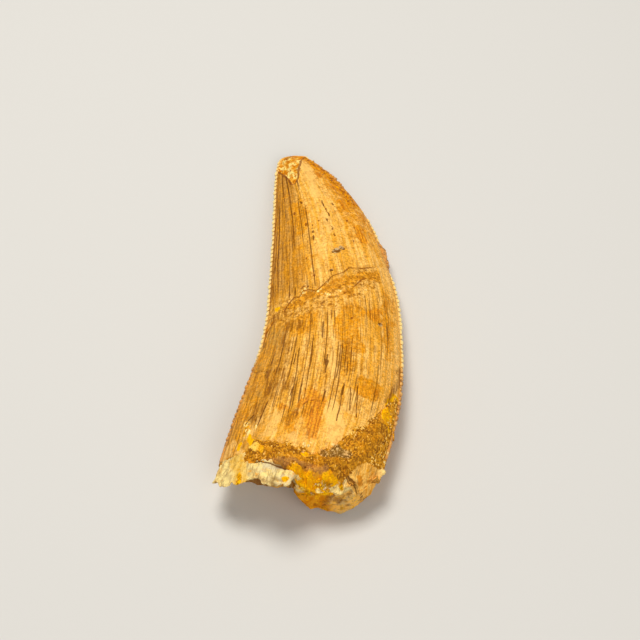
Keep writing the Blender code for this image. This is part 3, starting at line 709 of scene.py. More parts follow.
def stain_masks(rings, t, across, above):
    """Soft masks of the crown's stains and of a darker strip just inside the distal edge, each from 0 to
    1, on the upper face alone but for dry.
    """
    x, y = rings[..., 0], rings[..., 1]
    t = t[:, None]
    across = across[None]
    flank = smoothstep(0.54, 0.66, t)
    band = smoothstep(-0.62, -0.85, across) * smoothstep(0.5, 0.36, t)
    sand_line = np.interp(x, SAND_LINE[:, 0], SAND_LINE[:, 1])
    stains = {
        "amber": strongest(0.68 * smoothstep(0.15, 0.6, across) * flank, band * 0.35,
                           stroke(rings, *FILLER_STROKE) * 1.2, patches(rings, AMBER_PATCHES)),
        "mottles": smoothstep(0.05, 0.45, across) * flank,
        "tan": strongest(smoothstep(-0.2, -0.7, across) * smoothstep(0.42, 0.52, t),
                         smoothstep(-0.4, -0.66, across) * smoothstep(0.5, 0.3, t) * 0.6),
        "cream": strongest(strokes(rings, CREAM_STROKES), patches(rings, CREAM_PATCHES)),
        "brown": strongest(strokes(rings, BROWN_STROKES), patches(rings, BROWN_PATCHES),
                           # Brown also darkens a narrow strip just inside the distal edge, from the
                           # middle of the crown up.
                           smoothstep(-0.88, -0.97, across) * smoothstep(0.4, 0.48, t) * 0.9),
        "rusty": strongest(rust_wedge(rings) * 1.2, strokes(rings, RUSTY_STROKES),
                           patches(rings, RUSTY_PATCHES)),
        "ochre": patches(rings, OCHRE_PATCHES),
        "sand": smoothstep(-0.5, 0.45, sand_line - y + 0.5 * noise(rings, 0.8, 130)),
        "crazed": patch(rings, *CRAZED),
        "edge_stain": stroke(rings, EDGE_STAIN, 0.5, 0.3, 125),
        "mended": mended_band(rings), "band": band}
    stains = {name: mask * above[None] for name, mask in stains.items()}
    stains["dry"] = dry_mask(rings, t, across, band, stains["mended"])
    return stains


crown_masks.update(stain_masks(crown_rings, crown_t, crown_across, crown_above))
print("masks of the crown", sorted(crown_masks))

# %% [markdown]
# ## The dentine
# Below the enamel the tooth is dentine, which breaks with a rough, fibrous face. Its rings start
# inside the crown and stay a little below the enamel's skirt, so the enamel ends on it in a thin
# ragged step, as it does on a real tooth.

# %% Rings of the root
INSIDE_T = np.array([0.05, 0.025])      # two rings inside the crown, and how much they are shrunk
INSIDE_SHRINK = np.array([0.9, 0.97])


def root_sheet():
    """Rings of the root: two inside the crown, then out to the rim, then in over the broken end.
    Also whether each place round them is on the upper face."""
    rings, _, above = section_rings(INSIDE_T, CROWN_UPPER, CROWN_UNDER, WALL, ROOT_BULGE)
    middle = rings.mean(axis=1, keepdims=True)
    shrink = INSIDE_SHRINK[:, None, None]
    inside = middle + (rings - middle) * np.concatenate([shrink, np.ones_like(shrink), shrink], axis=-1)
    side = root_side(np.linspace(0.0, 1.0, ROOT_STATIONS)[:, None])
    inward = (np.linspace(0.0, 1.0, END_STATIONS + 1)[1:, None] ** 1.25) * 0.985
    rim = side[-1]
    level = np.broadcast_to(rim[:, 1], (END_STATIONS, len(rim)))
    end = np.stack([rim[:, 0] + (END_CENTRE[0] - rim[:, 0]) * inward, level,
                    rim[:, 2] + (END_CENTRE[1] - rim[:, 2]) * inward], axis=-1)
    end[..., 1] += (broken_end(end) - end[..., 1]) * smoothstep(0.0, 0.3, inward)
    return np.concatenate([inside, side, end]), above


root_rings, root_above = root_sheet()
root_row = np.arange(len(root_rings))
print("root rings", root_rings.shape)


# %% [markdown]
# ## Relief, stains and painted shade of the root
# Dentine is fibrous along the root and crumbles into grains, strands of it cross the wall of the
# hollow, and ochre is smeared over the upper wall. The relief adds three sizes of roughness, the
# fibres and strands, and the knob and the dent at the mesial corner. The masks are again strokes
# and patches, and those on the end of the root also look at the height.


# %% Masks of the root
ROOT_SPACING = 0.06       # mm between two rings
YELLOW_PATH = [(-7.9, -20.2), (-7.5, -22.0), (-7.6, -23.6)]
STRIPE_PATH = [(-7.7, -21.2), (-7.4, -22.3), (-7.5, -23.7)]      # ochre, as the next two
RIDGE = (0.5, -23.1, 3.2, 1.15, -8, 0.35, 210)
OCHRE_SPOTS = [(-2.6, -24.1, 0.5, 0.5, 0, 0.4, 212, 1.0), (-6.2, -19.9, 1.1, 0.8, 0, 0.5, 213, 1.0)]
RED_SPOT = (5.4, -22.6, 0.35, 0.45, 0, 0.4, 217)
RED_PATH = [(7.0, -19.4), (7.4, -20.2)]
ASLANT_CRACK = [(2.6, -21.4), (3.3, -21.8), (4.1, -22.7), (5.0, -23.2), (5.6, -23.4)]
# A dark line under the crust's lower edge: a shallow groove, and painted shade in it.
CRUST_GAP_SHADE = [(-6.4, -21.4), (-5.0, -21.8), (-3.6, -22.2), (-2.6, -22.8)]
GREY_PATH = [(-4.6, -22.4), (-3.6, -22.7), (-2.8, -22.6)]
STUB_SPLITS = [([(3.1, 6.4), (4.0, 5.6), (4.9, 4.5), (5.6, 2.5)], 0.2, 0.14, 235, 1.0),
               ([(4.0, 5.9), (5.0, 4.8), (5.5, 3.8), (5.9, 2.8)], 0.15, 0.12, 237, 0.8)]


def root_run(rings, row):
    """Place along and across the fibres of the root in mm: distance from the crown, and plan x as
    it was before the root leaned."""
    along = np.broadcast_to((row * ROOT_SPACING)[:, None], rings.shape[:2])
    return np.stack([along, rings[..., 0] + ROOT_LEAN * (rings[..., 1] + 20), rings[..., 2]], axis=-1)


def root_strands(rings):
    """Height in mm of the strands of chalky bone that cross the wall of the hollow aslant."""
    aslant = rings @ np.array([[0.96, -0.28, 0.0], [0.28, 0.96, 0.0], [0.0, 0.0, 1.0]]).T
    return 0.16 * noise(aslant, (1.7, 0.42, 0.7), 227) + 0.08 * noise(aslant, (1.0, 0.22, 0.4), 231)


def root_cracks(rings, upper):
    """The crack beside the stub and a shallow groove along the crust's lower edge, darkened as painted
    shade, both on the upper wall, and two splits of the stub's face. Those are strokes too, over x and z
    instead of x and y."""
    aslant = stroke(rings, ASLANT_CRACK, 0.28, 0.12, 214)
    gap = stroke(rings, CRUST_GAP_SHADE, 0.22, 0.2, 215)
    split = strokes(rings[..., [0, 2, 1]], STUB_SPLITS)
    return strongest(aslant * upper, gap * upper, 0.75 * split * smoothstep(-21.6, -22.0, rings[..., 1]))


def root_marks(rings, row, above):
    """Masks of the root's stains and cracks, and of the painted shade in the deep hollow and between its
    strands.
    """
    x, y, z = (rings[..., n] for n in range(3))
    upper = above[None] * (row < ROOT_STATIONS + 20)[:, None]
    ridge = patch(rings, *RIDGE) * smoothstep(3.6, 4.6, z)
    stripe = stroke(rings, STRIPE_PATH, 0.85, 0.4, 236) * upper
    stripe = stripe * (0.35 + 0.65 * smoothstep(-21.8, -23.0, y))
    spots = patches(rings, OCHRE_SPOTS) * upper
    peach = smoothstep(-0.25, 0.25, x - 3.3 - 0.6 * (6.5 - z)) * smoothstep(-20.0, -20.8, y)
    # Painted shade over the low part of the hollow under the upper wall, beside the stub.
    shaded = smoothstep(-1.2, -2.4, x) * smoothstep(4.6, 3.4, z) * (row > ROOT_STATIONS)[:, None]
    stub = smoothstep(-2.4, -1.4, x) * smoothstep(5.2, 4.0, z) * (row > ROOT_STATIONS - 6)[:, None]
    red = strongest(patch(rings, *RED_SPOT), stroke(rings, RED_PATH, 0.3, 0.1, 218))
    hollow = smoothstep(-6.2, -5.0, x) * smoothstep(-0.6, -2.0, x) * smoothstep(-20.6, -21.4, y)
    pale_side = smoothstep(1.4, 3.0, x + 0.6 * noise(rings, 0.9, 234)) * smoothstep(-21.6, -22.4, y)
    return {"run": root_run(rings, row), "ochre": strongest(ridge, stripe, spots),
            # Cracks, with painted shade in the groove under the crust's lower edge.
            "crack": root_cracks(rings, upper),
            "yellow": stroke(rings, YELLOW_PATH, 1.3, 0.4, 211) * upper,
            # Painted shade in the dips between the strands on the wall of the hollow.
            "crevice_shade": smoothstep(-0.02, -0.14, root_strands(rings)) * hollow,
            "knob": np.exp(-((rings - KNOB) ** 2).sum(axis=-1) / 0.3),
            "mixed": smoothstep(-0.6, 1.0, x + 0.5 * noise(rings, 0.8, 219)),
            "pale_side": pale_side, "hollow": hollow, "peach": peach,
            "grey": stroke(rings, GREY_PATH, 0.5, 0.3, 216) * upper * 0.8,
            "stub": stub * (1 - peach), "red": red, "shaded": shaded}


# %% Push the relief into the root
UNDER_SKIRT = 0.07        # how far the dentine lies below the enamel's skirt
OFF_GROUND = 0.06         # and above the ground there, where both would share one plane


def root_relief(rings, marks, row):
    """Height of the root's relief in mm: lumps, fibres, crumbs, strands, the knob and the cracks."""
    out = smoothstep(2.0, 10.0, row)[:, None]
    below = UNDER_SKIRT * smoothstep(ROOT_STATIONS * 0.6, ROOT_STATIONS * 0.45, row)[:, None]
    lumps = 0.14 * noise(rings, 1.5, 220) + 0.1 * rough(rings, 0.7, 221)
    run = marks["run"]
    fibres = 0.05 * noise(run, (3.0, 0.5, 2.0), 225) + 0.03 * noise(run, (1.5, 0.25, 1.0), 226)
    dome, _ = grains(rings, 0.7, 229)
    powder = 0.4 * (dome - 0.55) + 0.16 * rough(rings, 0.5, 230)
    crumbs = 0.045 * rough(rings, 0.28, 228, 2) + powder * marks["ochre"]
    knob = 0.42 * np.exp(-((rings - KNOB) ** 2).sum(axis=-1) / 0.16)
    knob = knob - 0.5 * np.exp(-((rings - NOTCH) ** 2).sum(axis=-1) / 0.6)
    near_rim = smoothstep(ROOT_STATIONS - 16, ROOT_STATIONS - 2, row)[:, None]
    strands = root_strands(rings) + 0.3 * rough(rings, 0.9, 232) * near_rim
    crumbs = crumbs + strands * marks["hollow"]
    calm = 1 - 0.8 * marks["ochre"]
    return (lumps + fibres * calm + crumbs + knob - 0.25 * marks["crack"]) * out - below


root_masks = root_marks(root_rings, root_row, root_above)
root_height = root_relief(root_rings, root_masks, root_row)
root_skin = root_rings + normals(root_rings, -1) * root_height[..., None]
root_ground = OFF_GROUND * smoothstep(ROOT_STATIONS * 0.6, ROOT_STATIONS * 0.5, root_row)[:, None]
root_skin[..., 2] = np.maximum(root_skin[..., 2], root_ground)
print("relief mm", round(float(root_height.min()), 3), "to", round(float(root_height.max()), 3))

# %% [markdown]
# ## Height of the tooth in plan
# The crust of sand lies on both the crown and the root, so it needs their height at any place in
# plan. Ray casts would give it one point at a time. Here each column of the upper face is read at
# the same rows of y, and then each row at the same places of x, which leaves a plain height grid.

# %% Height grid of the upper face
GRID_X = np.linspace(-9.6, 10.6, 240)
GRID_Y = np.linspace(-24.4, -10.0, 200)
CROWN_ROWS = 135          # of the crown's rings from its base, which reach past the grid


def height_grid(sheet):
    """Height over GRID_Y and GRID_X of a sheet of points whose y rises along its first axis."""
    y = np.maximum.accumulate(sheet[..., 1], axis=0) + 1e-7 * np.arange(len(sheet))[:, None]
    columns = range(sheet.shape[1])
    x_rows = np.stack([np.interp(GRID_Y, y[:, j], sheet[:, j, 0]) for j in columns], axis=1)
    z_rows = np.stack([np.interp(GRID_Y, y[:, j], sheet[:, j, 2]) for j in columns], axis=1)
    return np.stack([np.interp(GRID_X, xs[::-1], zs[::-1]) for xs, zs in zip(x_rows, z_rows)])


def height_at(grid, x, y):
    """Height at plan places, mixed between the four nearest points of the grid."""
    u = np.clip((x - GRID_X[0]) / (GRID_X[1] - GRID_X[0]), 0, len(GRID_X) - 1.001)
    v = np.clip((y - GRID_Y[0]) / (GRID_Y[1] - GRID_Y[0]), 0, len(GRID_Y) - 1.001)
    i, j = v.astype(int), u.astype(int)
    fu, fv = u - j, v - i
    near = grid[i, j] * (1 - fu) + grid[i, j + 1] * fu
    far = grid[i + 1, j] * (1 - fu) + grid[i + 1, j + 1] * fu
    return near * (1 - fv) + far * fv


root_side_rows = root_skin[len(INSIDE_T):len(INSIDE_T) + ROOT_STATIONS][::-1]
upper_sheet = np.concatenate([root_side_rows, crown_skin[SKIRT_STATIONS + 1:CROWN_ROWS]])
tooth_top = height_grid(upper_sheet[:, :CROWN_UPPER])
print("upper face mm", round(float(tooth_top.min()), 2), "to", round(float(tooth_top.max()), 2))

# %% [markdown]
# ## The crust of cemented sand
# Sand grains of about a quarter of a millimetre, cemented by lime and iron, cover the seam of enamel
# and root. The crust is a grid in plan with a domed height. Each grain is a rounded cell: the
# distance to the nearest of many jittered points makes its dome, and the same point gives it a
# random number for its colour. Real grains as separate balls would need far more faces.

# %% Sand grains as cells, and the crust
CRUST = np.array([        # x, lower edge y, upper edge y, thickness
    (-7.0, -20.9, -19.8, 0.4), (-6.0, -21.4, -18.9, 0.55), (-4.0, -21.9, -19.5, 0.6),
    (-2.4, -22.6, -20.2, 0.7), (-1.2, -23.3, -20.6, 0.9), (0.6, -23.4, -20.9, 1.1),
    (2.2, -23.5, -20.6, 1.0), (3.4, -22.7, -19.4, 0.8), (5.0, -21.7, -18.4, 0.6),
    (6.6, -20.0, -16.6, 0.5), (7.8, -18.0, -14.6, 0.45), (8.7, -16.0, -13.2, 0.35)])
CRUST_COLUMNS = 400
CRUST_ROWS = 90
CRUST_EDGE = 0.55         # how far the grid runs on under the tooth's skin beyond the crust's border
CRUST_DEPTH = 0.9         # of its closed underside below the tooth's skin
CRUST_SHOULDER = 0.9      # how far inside its border it is fully thick
SAND_GRAIN = 0.16         # cell of a grain, and of a lump of grains
SAND_LUMP = 0.55
MAUVE_PATH = [(-4.4, -21.9), (-2.4, -22.2), (0.0, -22.5), (1.8, -22.6)]
LEMON = (-6.2, -19.5, 1.6, 1.2, -35, 0.5, 318)
OLIVE_SAND = (2.6, -20.9, 1.9, 0.8, 10, 0.5, 317)
OCHRE_BORDER = -22.75     # y below which the crust is ochre powder
CRUST_OCHRE = [(0.2, -20.6, 0.6, 0.35, 0, 0.3, 313, 1.0), (-0.5, -21.2, 0.55, 0.4, 0, 0.3, 314, 1.0),
               (-5.9, -19.6, 1.5, 0.9, -40, 0.4, 315, 1.0), (8.6, -14.5, 1.0, 2.0, 0, 0.5, 316, 1.0)]


def crust_plan():
    """Grid over the crust's plan, laid on the tooth, and how far inside its border each place is."""
    x = np.linspace(CRUST[0, 0] - CRUST_EDGE, CRUST[-1, 0] + CRUST_EDGE, CRUST_COLUMNS)
    low, high, thick = (np.interp(x, CRUST[:, 0], CRUST[:, n])[:, None] for n in (1, 2, 3))
    share = np.linspace(0.0, 1.0, CRUST_ROWS)
    y = (low - CRUST_EDGE) + (high - low + 2 * CRUST_EDGE) * share
    plan = np.stack([np.broadcast_to(x[:, None], y.shape), y, np.zeros_like(y)], axis=-1)
    plan[..., 2] = height_at(tooth_top, plan[..., 0], plan[..., 1])
    ends = np.minimum(x - CRUST[0, 0], CRUST[-1, 0] - x)[:, None]
    wander = 0.4 * rough(plan * (1, 1, 0), 0.9, 300)
    return plan, thick, np.minimum(np.minimum(y - low, high - y), ends) + wander


def crust_sheet():
    """Upper surface of the crust: a dome over the tooth, times lumps, plus grains. With its masks."""
    plan, thick, border = crust_plan()
    rise = np.sqrt(np.clip(border / CRUST_SHOULDER, 0.0, 1.0)) - 0.6 * smoothstep(0.15, -0.35, border)
    lumps = 0.72 + 0.42 * noise(plan * (1, 1, 0), 1.0, 12)
    dome, number = grains(plan, SAND_GRAIN, 310)
    lump_dome, _ = grains(plan, SAND_LUMP, 311)
    bumps = (0.09 * dome + 0.16 * lump_dome - 0.13) * smoothstep(-0.3, 0.2, border)
    top = plan.copy()
    top[..., 2] += thick * rise * lumps + bumps
    lower = OCHRE_BORDER + 0.3 * noise(plan, 0.7, 312)
    ochre = smoothstep(0.35, -0.35, plan[..., 1] - lower) * smoothstep(-3.2, -2.2, plan[..., 0])
    masks = {"mauve": stroke(plan, MAUVE_PATH, 0.7, 0.3, 319),
             "lemon": patch(plan, *LEMON), "olive": patch(plan, *OLIVE_SAND),
             "ochre": strongest(ochre * smoothstep(4.0, 2.8, plan[..., 0]), patches(plan, CRUST_OCHRE)),
             "dome": dome, "number": number}
    return top, plan[..., 2], masks


crust_top, crust_ground, crust_masks = crust_sheet()
crust_height = crust_top[..., 2] - crust_ground
print("crust grid", crust_top.shape[:2], "thickest", round(float(crust_height.max()), 2), "mm")


def slab_faces(rows, columns):
    """Faces of a closed slab made of an upper and a lower grid: quads of both and of the border."""
    top = np.arange(rows * columns).reshape(rows, columns)
    upper = np.stack([top[:-1, :-1], top[1:, :-1], top[1:, 1:], top[:-1, 1:]], axis=-1).reshape(-1, 4)
    border = np.concatenate([top[:-1, 0], top[-1, :-1], top[:0:-1, -1], top[0, :0:-1]])
    beside = np.roll(border, -1)
    wall = np.stack([border, border + top.size, beside + top.size, beside], axis=-1)
    return np.concatenate([upper, upper[:, ::-1] + top.size, wall])


# %% [markdown]
# ## The saw edges
# Both carinae carry about seventy denticles, each a rounded chisel with a narrow slit before the
# next. A strip is swept along each carina: its section is half an ellipse that stands out by the
# height of the denticle at that place and swells in thickness with it. An array of separate beads
# would look alike, but a saw edge is one piece with its blade and its slits don't go to the bottom.
# The mesial edge is chipped in places, blunt at a lump beside the break, and worn near the tip.

# %% Strips of denticles
DENTICLE_PITCH = 0.66
SAW_STEPS = 10            # places along one denticle
SAW_AROUND = 14
SAW_INSIDE = 0.3          # mm that the strip reaches into the blade
LUMP_T = 0.585            # the lump of the mesial edge, where the denticles are blunt
DULL_T = (0.77, 0.83)     # they fade out between these towards the tip
MESIAL_WEAR = np.array([  # y, and how much further out the edge stands there
    (-17.5, 0.0), (-15.6, -0.18), (-14.0, 0.0), (5.8, 0.0), (6.9, -0.22), (7.8, 0.1), (8.8, 0.15),
    (9.9, 0.38), (11.0, 0.0), (14.0, -0.05), (16.5, -0.24), (19.6, -0.24), (21.0, 0.0)])


def denticles(place, t, side):
    """Height of the saw from about 0 in a slit to 1 on a denticle: (1 - |2p - 1|^3)^0.6 at phase p
    of each. It evens out near the base, at the very tip and where the mesial edge is worn."""
    phase = (place / DENTICLE_PITCH + 0.12 * np.sin(place * 1.7)) % 1.0
    which = np.floor(place / DENTICLE_PITCH).astype(int)
    dice = np.random.default_rng(400 + side)
    size = dice.uniform(0.8, 1.12, which.max() + 1)[which]
    bead = (1 - np.abs(2 * phase - 1) ** 3) ** 0.6
    fresh = smoothstep(0.0, 0.12, t) * (1 - 0.75 * smoothstep(0.93, 0.99, t))
    if side > 0:
        fresh = fresh * (1 - 0.8 * smoothstep(*DULL_T, t))
        fresh = fresh * (1 - 0.5 * smoothstep(0.05, 0.02, np.abs(t - LUMP_T)))
    return 0.85 + (bead * size - 0.85) * fresh


def edge_stain(side, y):
    """How stained the edge is at y, from 0, clean cream, to 1, brown."""
    if side < 0:
        return smoothstep(-2.0, -9.0, y) * 0.75
    upper = smoothstep(4.5, 8.5, y) * (1 - 0.8 * smoothstep(23.4, 24.8, y))
    upper = upper * (1 - 0.75 * smoothstep(10.6, 11.6, y) * smoothstep(18.0, 16.0, y))
    return np.maximum(upper, smoothstep(-4.0, -10.0, y) * 0.7)


def saw_strip(side):
    """Rings along the carina, which stand out by the height of the denticles, and the masks of the
    strip. Its places are even along the edge, because the denticles are."""
    probe = np.linspace(0.0, 0.992, 500)
    edge = carina(probe, side)
    run = np.concatenate([[0.0], np.cumsum(np.linalg.norm(np.diff(edge, axis=0), axis=1))])
    place = np.arange(0.0, run[-1], DENTICLE_PITCH / SAW_STEPS)
    t = np.interp(place, run, probe)
    tall = denticles(place, t, side)
    middle, half, width = chord(t)
    stand = np.minimum(DENTICLE_HEIGHT * (0.1 + 1.0 * tall), 0.5 * width)
    plan = middle + side * half
    gritty = np.full_like(t, 0.03)
    if side > 0:
        worn = np.interp(plan[:, 1], MESIAL_WEAR[:, 0], MESIAL_WEAR[:, 1])
        stand = np.maximum(stand + worn, 0.12 * stand)
        gritty = gritty + 0.09 * smoothstep(0.74, 0.82, t) * smoothstep(0.98, 0.94, t)
    out = side * half / np.maximum(width, 1e-6)[:, None]
    turn = np.linspace(0.0, 2 * np.pi, SAW_AROUND, endpoint=False)
    forth = np.where(np.cos(turn) > 0, stand[:, None], SAW_INSIDE) * np.cos(turn)
    thick = blade_half(width) * (0.62 + 0.4 * tall)
    lift = carina_height(t, width)[:, None]
    rings = np.concatenate([plan[:, None] + out[:, None] * forth[..., None],
                            (lift + thick[:, None] * np.sin(turn))[..., None]], axis=-1)
    grit = gritty[:, None] * rough(rings, 0.3, 410 + side)
    rings = rings + grit[..., None] * np.array([1.0, 0.3, 1.0])
    slit = (1 - smoothstep(0.25, 0.75, tall))[:, None] * np.ones_like(turn)
    crest = smoothstep(-0.1, 0.6, np.cos(turn))[None] * smoothstep(0.35, 0.8, tall)[:, None]
    stained = edge_stain(side, plan[:, 1])[:, None] * np.ones_like(turn)
    return rings, {"slit": slit, "crest": crest, "stained": stained}


saws = {"distal_saw": saw_strip(-1), "mesial_saw": saw_strip(1)}
print({name: rings.shape for name, (rings, _) in saws.items()})

# %% [markdown]
# ## Small tools for materials
# A material is a graph of nodes. Writing each node by hand takes five lines, so a few short helpers
# add a node, link it and hand back its output, and the graph then reads like a formula. Lengths in
# the graph are millimetres, which keeps noise scales easy to think about.


# %% Node helpers
def add(tree, kind, values=(), **options):
    """Adds a shader node. options are its settings, and values its inputs by name or number: each
    is a plain value or the output of another node."""
    item = tree.nodes.new("ShaderNode" + kind)
    for key, value in options.items():
        setattr(item, key, value)
    for key, value in dict(values).items():
        if isinstance(value, bpy.types.NodeSocket):
            tree.links.new(value, item.inputs[key])
        else:
            item.inputs[key].default_value = value
    return item


def maths(tree, operation, *values):
    """Output of a Math node."""
    return add(tree, "Math", enumerate(values), operation=operation).outputs[0]


def ramp(tree, value, low, high, start=0.0, end=1.0):
    """Smooth step of value from start at low to end at high."""
    values = {"Value": value, "From Min": low, "From Max": high, "To Min": start, "To Max": end}
    return add(tree, "MapRange", values, interpolation_type="SMOOTHSTEP").outputs["Result"]


def mix(tree, factor, first, second, kind="MIX"):
    """Colour between first and second, or first changed by second in another way."""
    item = add(tree, "Mix", {0: factor, 6: first, 7: second}, data_type="RGBA", blend_type=kind)
    return item.outputs[2]


def lay(tree, colour, tint, mask, share):
    """The colour with a tint laid over it where the mask is, by the share at most."""
    return mix(tree, maths(tree, "MULTIPLY", mask, share), colour, tint)


def stretched(tree, vector, scale):
    """A vector times another, axis by axis."""
    return add(tree, "VectorMath", {0: vector, 1: scale}, operation="MULTIPLY").outputs[0]


def texture_noise(tree, vector, scale, detail=3.0, roughness=0.55):
    """Blender's noise, from 0 to 1 and mostly between 0.3 and 0.7."""
    values = {"Vector": vector, "Scale": scale, "Detail": detail, "Roughness": roughness}
    return add(tree, "TexNoise", values).outputs[0]


def place_mm(tree):
    """Object coordinates in millimetres."""
    place = add(tree, "TexCoord").outputs["Object"]
    return add(tree, "VectorMath", {0: place, "Scale": 1.0 / MM}, operation="SCALE").outputs[0]


def mask_of(tree, name):
    """A number kept on the mesh."""
    return add(tree, "Attribute", attribute_name=name).outputs["Fac"]


def run_of(tree):
    """The coordinates in millimetres that run with the grain, kept on the mesh."""
    return add(tree, "Attribute", attribute_name="run").outputs["Vector"]


def paint(red, green, blue):
    """Colour given as it looks on a screen, 0 to 255, turned into the linear one that nodes use."""
    share = np.array([red, green, blue]) / 255.0
    linear = np.where(share <= 0.04045, share / 12.92, ((share + 0.055) / 1.055) ** 2.4)
    return (*linear.tolist(), 1.0)


# %% [markdown]
# ## Effects that several materials share
# Frayed borders, hairline cracks, sand grains and mottling turn up in the enamel, the dentine and
# the sand. Each is a node group with its own inputs, built once. A group gives out only masks and
# heights, and each material decides what colour they have.


# %% Node groups
def new_group(name, inputs, outputs):
    """An empty group with float sockets, and a vector socket where the name is Vector."""
    tree = bpy.data.node_groups.new(name, "ShaderNodeTree")
    for label, value in inputs.items():
        kind = "NodeSocketVector" if label == "Vector" else "NodeSocketFloat"
        socket = tree.interface.new_socket(label, in_out="INPUT", socket_type=kind)
        if label != "Vector":
            socket.default_value = value
    for label in outputs:
        tree.interface.new_socket(label, in_out="OUTPUT", socket_type="NodeSocketFloat")
    return tree, tree.nodes.new("NodeGroupInput").outputs, tree.nodes.new("NodeGroupOutput").inputs


def frayed_group():
    """Mask plus noise, cut by a smooth step: the soft border becomes a ragged one."""
    inputs = {"Mask": 0.0, "Vector": 0, "Scale": 1.5, "Fray": 0.8, "Soft": 0.12}
    tree, given, result = new_group("Frayed border", inputs, ["Mask"])
    cloud = texture_noise(tree, given["Vector"], given["Scale"], 5.0, 0.65)
    cloud = maths(tree, "SUBTRACT", cloud, 0.5)
    pushed = maths(tree, "MULTIPLY_ADD", cloud, given["Fray"], given["Mask"])
    low = maths(tree, "SUBTRACT", 0.5, given["Soft"])
    high = maths(tree, "ADD", 0.5, given["Soft"])
    cut = maths(tree, "MULTIPLY", ramp(tree, pushed, low, high), ramp(tree, given["Mask"], 0.0, 0.12))
    tree.links.new(cut, result["Mask"])
    return tree


def hairline_group():
    """Long lines along the first axis: each strip of the given spacing across holds one line at its
    own place, slow noise sways it, and a second noise fades it in and out along its length."""
    inputs = {"Vector": 0, "Spacing": 0.5, "Length": 7.0, "Width": 0.08, "Seed": 0.0}
    tree, given, result = new_group("Hairline cracks", inputs, ["Mask"])
    parts = add(tree, "SeparateXYZ", {0: given["Vector"]}).outputs
    squeezed = maths(tree, "MULTIPLY", parts["Y"], 5.0)
    slow = add(tree, "CombineXYZ", {"X": parts["X"], "Y": squeezed, "Z": given["Seed"]})
    sway = texture_noise(tree, slow.outputs[0], 0.09, 2.0)
    strip = maths(tree, "DIVIDE", parts["Y"], given["Spacing"])
    strip = maths(tree, "MULTIPLY_ADD", sway, 3.0, strip)
    number = maths(tree, "FLOOR", strip)
    seeded = maths(tree, "ADD", number, given["Seed"])
    dice = add(tree, "TexWhiteNoise", {"W": seeded}, noise_dimensions="1D")
    centre = ramp(tree, dice.outputs["Value"], 0.0, 1.0, 0.15, 0.85)
    away = maths(tree, "SUBTRACT", maths(tree, "SUBTRACT", strip, number), centre)
    away = maths(tree, "MULTIPLY", maths(tree, "ABSOLUTE", away), given["Spacing"])
    line = maths(tree, "SUBTRACT", 1.0, ramp(tree, away, 0.0, given["Width"]))
    lengthwise = add(tree, "CombineXYZ", {"X": maths(tree, "DIVIDE", parts["X"], given["Length"]),
                                          "Y": maths(tree, "MULTIPLY", number, 3.7), "Z": given["Seed"]})
    kept = ramp(tree, texture_noise(tree, lengthwise.outputs[0], 1.0, 1.0), 0.42, 0.62)
    tree.links.new(maths(tree, "MULTIPLY", line, kept), result["Mask"])
    return tree


def grains_group():
    """Rounded cells: each gives a random number, its height, and how dark the gap at its rim is."""
    outputs = ["Random", "Height", "Rim"]
    tree, given, result = new_group("Sand grains", {"Vector": 0, "Size": 0.25}, outputs)
    scale = maths(tree, "DIVIDE", 1.0, given["Size"])
    where = {"Vector": given["Vector"], "Scale": scale}
    cells = add(tree, "TexVoronoi", where)
    edges = add(tree, "TexVoronoi", where, feature="DISTANCE_TO_EDGE")
    own = add(tree, "SeparateColor", {0: cells.outputs["Color"]}).outputs[0]
    tree.links.new(own, result["Random"])
    tree.links.new(maths(tree, "SUBTRACT", 1.0, cells.outputs["Distance"]), result["Height"])
    tree.links.new(ramp(tree, edges.outputs["Distance"], 0.0, 0.16, 1.0, 0.0), result["Rim"])
    return tree


def mottle_group():
    """Noise cut between two values: blotches of one size with soft borders."""
    inputs = {"Vector": 0, "Scale": 1.0, "Low": 0.45, "High": 0.6}
    tree, given, result = new_group("Mottle", inputs, ["Mask"])
    cloud = texture_noise(tree, given["Vector"], given["Scale"], 4.0, 0.6)
    tree.links.new(ramp(tree, cloud, given["Low"], given["High"]), result["Mask"])
    return tree


FRAYED, HAIRLINE, GRAINS, MOTTLE = frayed_group(), hairline_group(), grains_group(), mottle_group()
print("groups", [tree.name for tree in (FRAYED, HAIRLINE, GRAINS, MOTTLE)])


def use(tree, shared, **values):
    """Places a shared group in a material and hands back its outputs."""
    item = tree.nodes.new("ShaderNodeGroup")
    item.node_tree = shared
    for key, value in values.items():
        if isinstance(value, bpy.types.NodeSocket):
            tree.links.new(value, item.inputs[key])
        else:
            item.inputs[key].default_value = value
    return item.outputs


def frayed(tree, name, place, scale=1.6, fray=0.9, soft=0.12):
    """A mask kept on the mesh, with its border frayed."""
    mask = mask_of(tree, name)
    return use(tree, FRAYED, Mask=mask, Vector=place, Scale=scale, Fray=fray, Soft=soft)["Mask"]


def mottled(tree, place, scale, low, high):
    """Blotches of noise."""
    return use(tree, MOTTLE, Vector=place, Scale=scale, Low=low, High=high)["Mask"]


def blotched(tree, name, place, scale, low, high):
    """A mask kept on the mesh, broken into blotches."""
    return maths(tree, "MULTIPLY", mask_of(tree, name), mottled(tree, place, scale, low, high))


def hairlines(tree, run, spacing, length, width, seed):
    """Hairline cracks along the run coordinates."""
    return use(tree, HAIRLINE, Vector=run, Spacing=spacing, Length=length, Width=width, Seed=seed)["Mask"]


def new_material(name):
    """A material with one Principled shader, its tree and the shader."""
    material = bpy.data.materials.new(name)
    material.use_nodes = True
    tree = material.node_tree
    return material, tree, tree.nodes["Principled BSDF"]


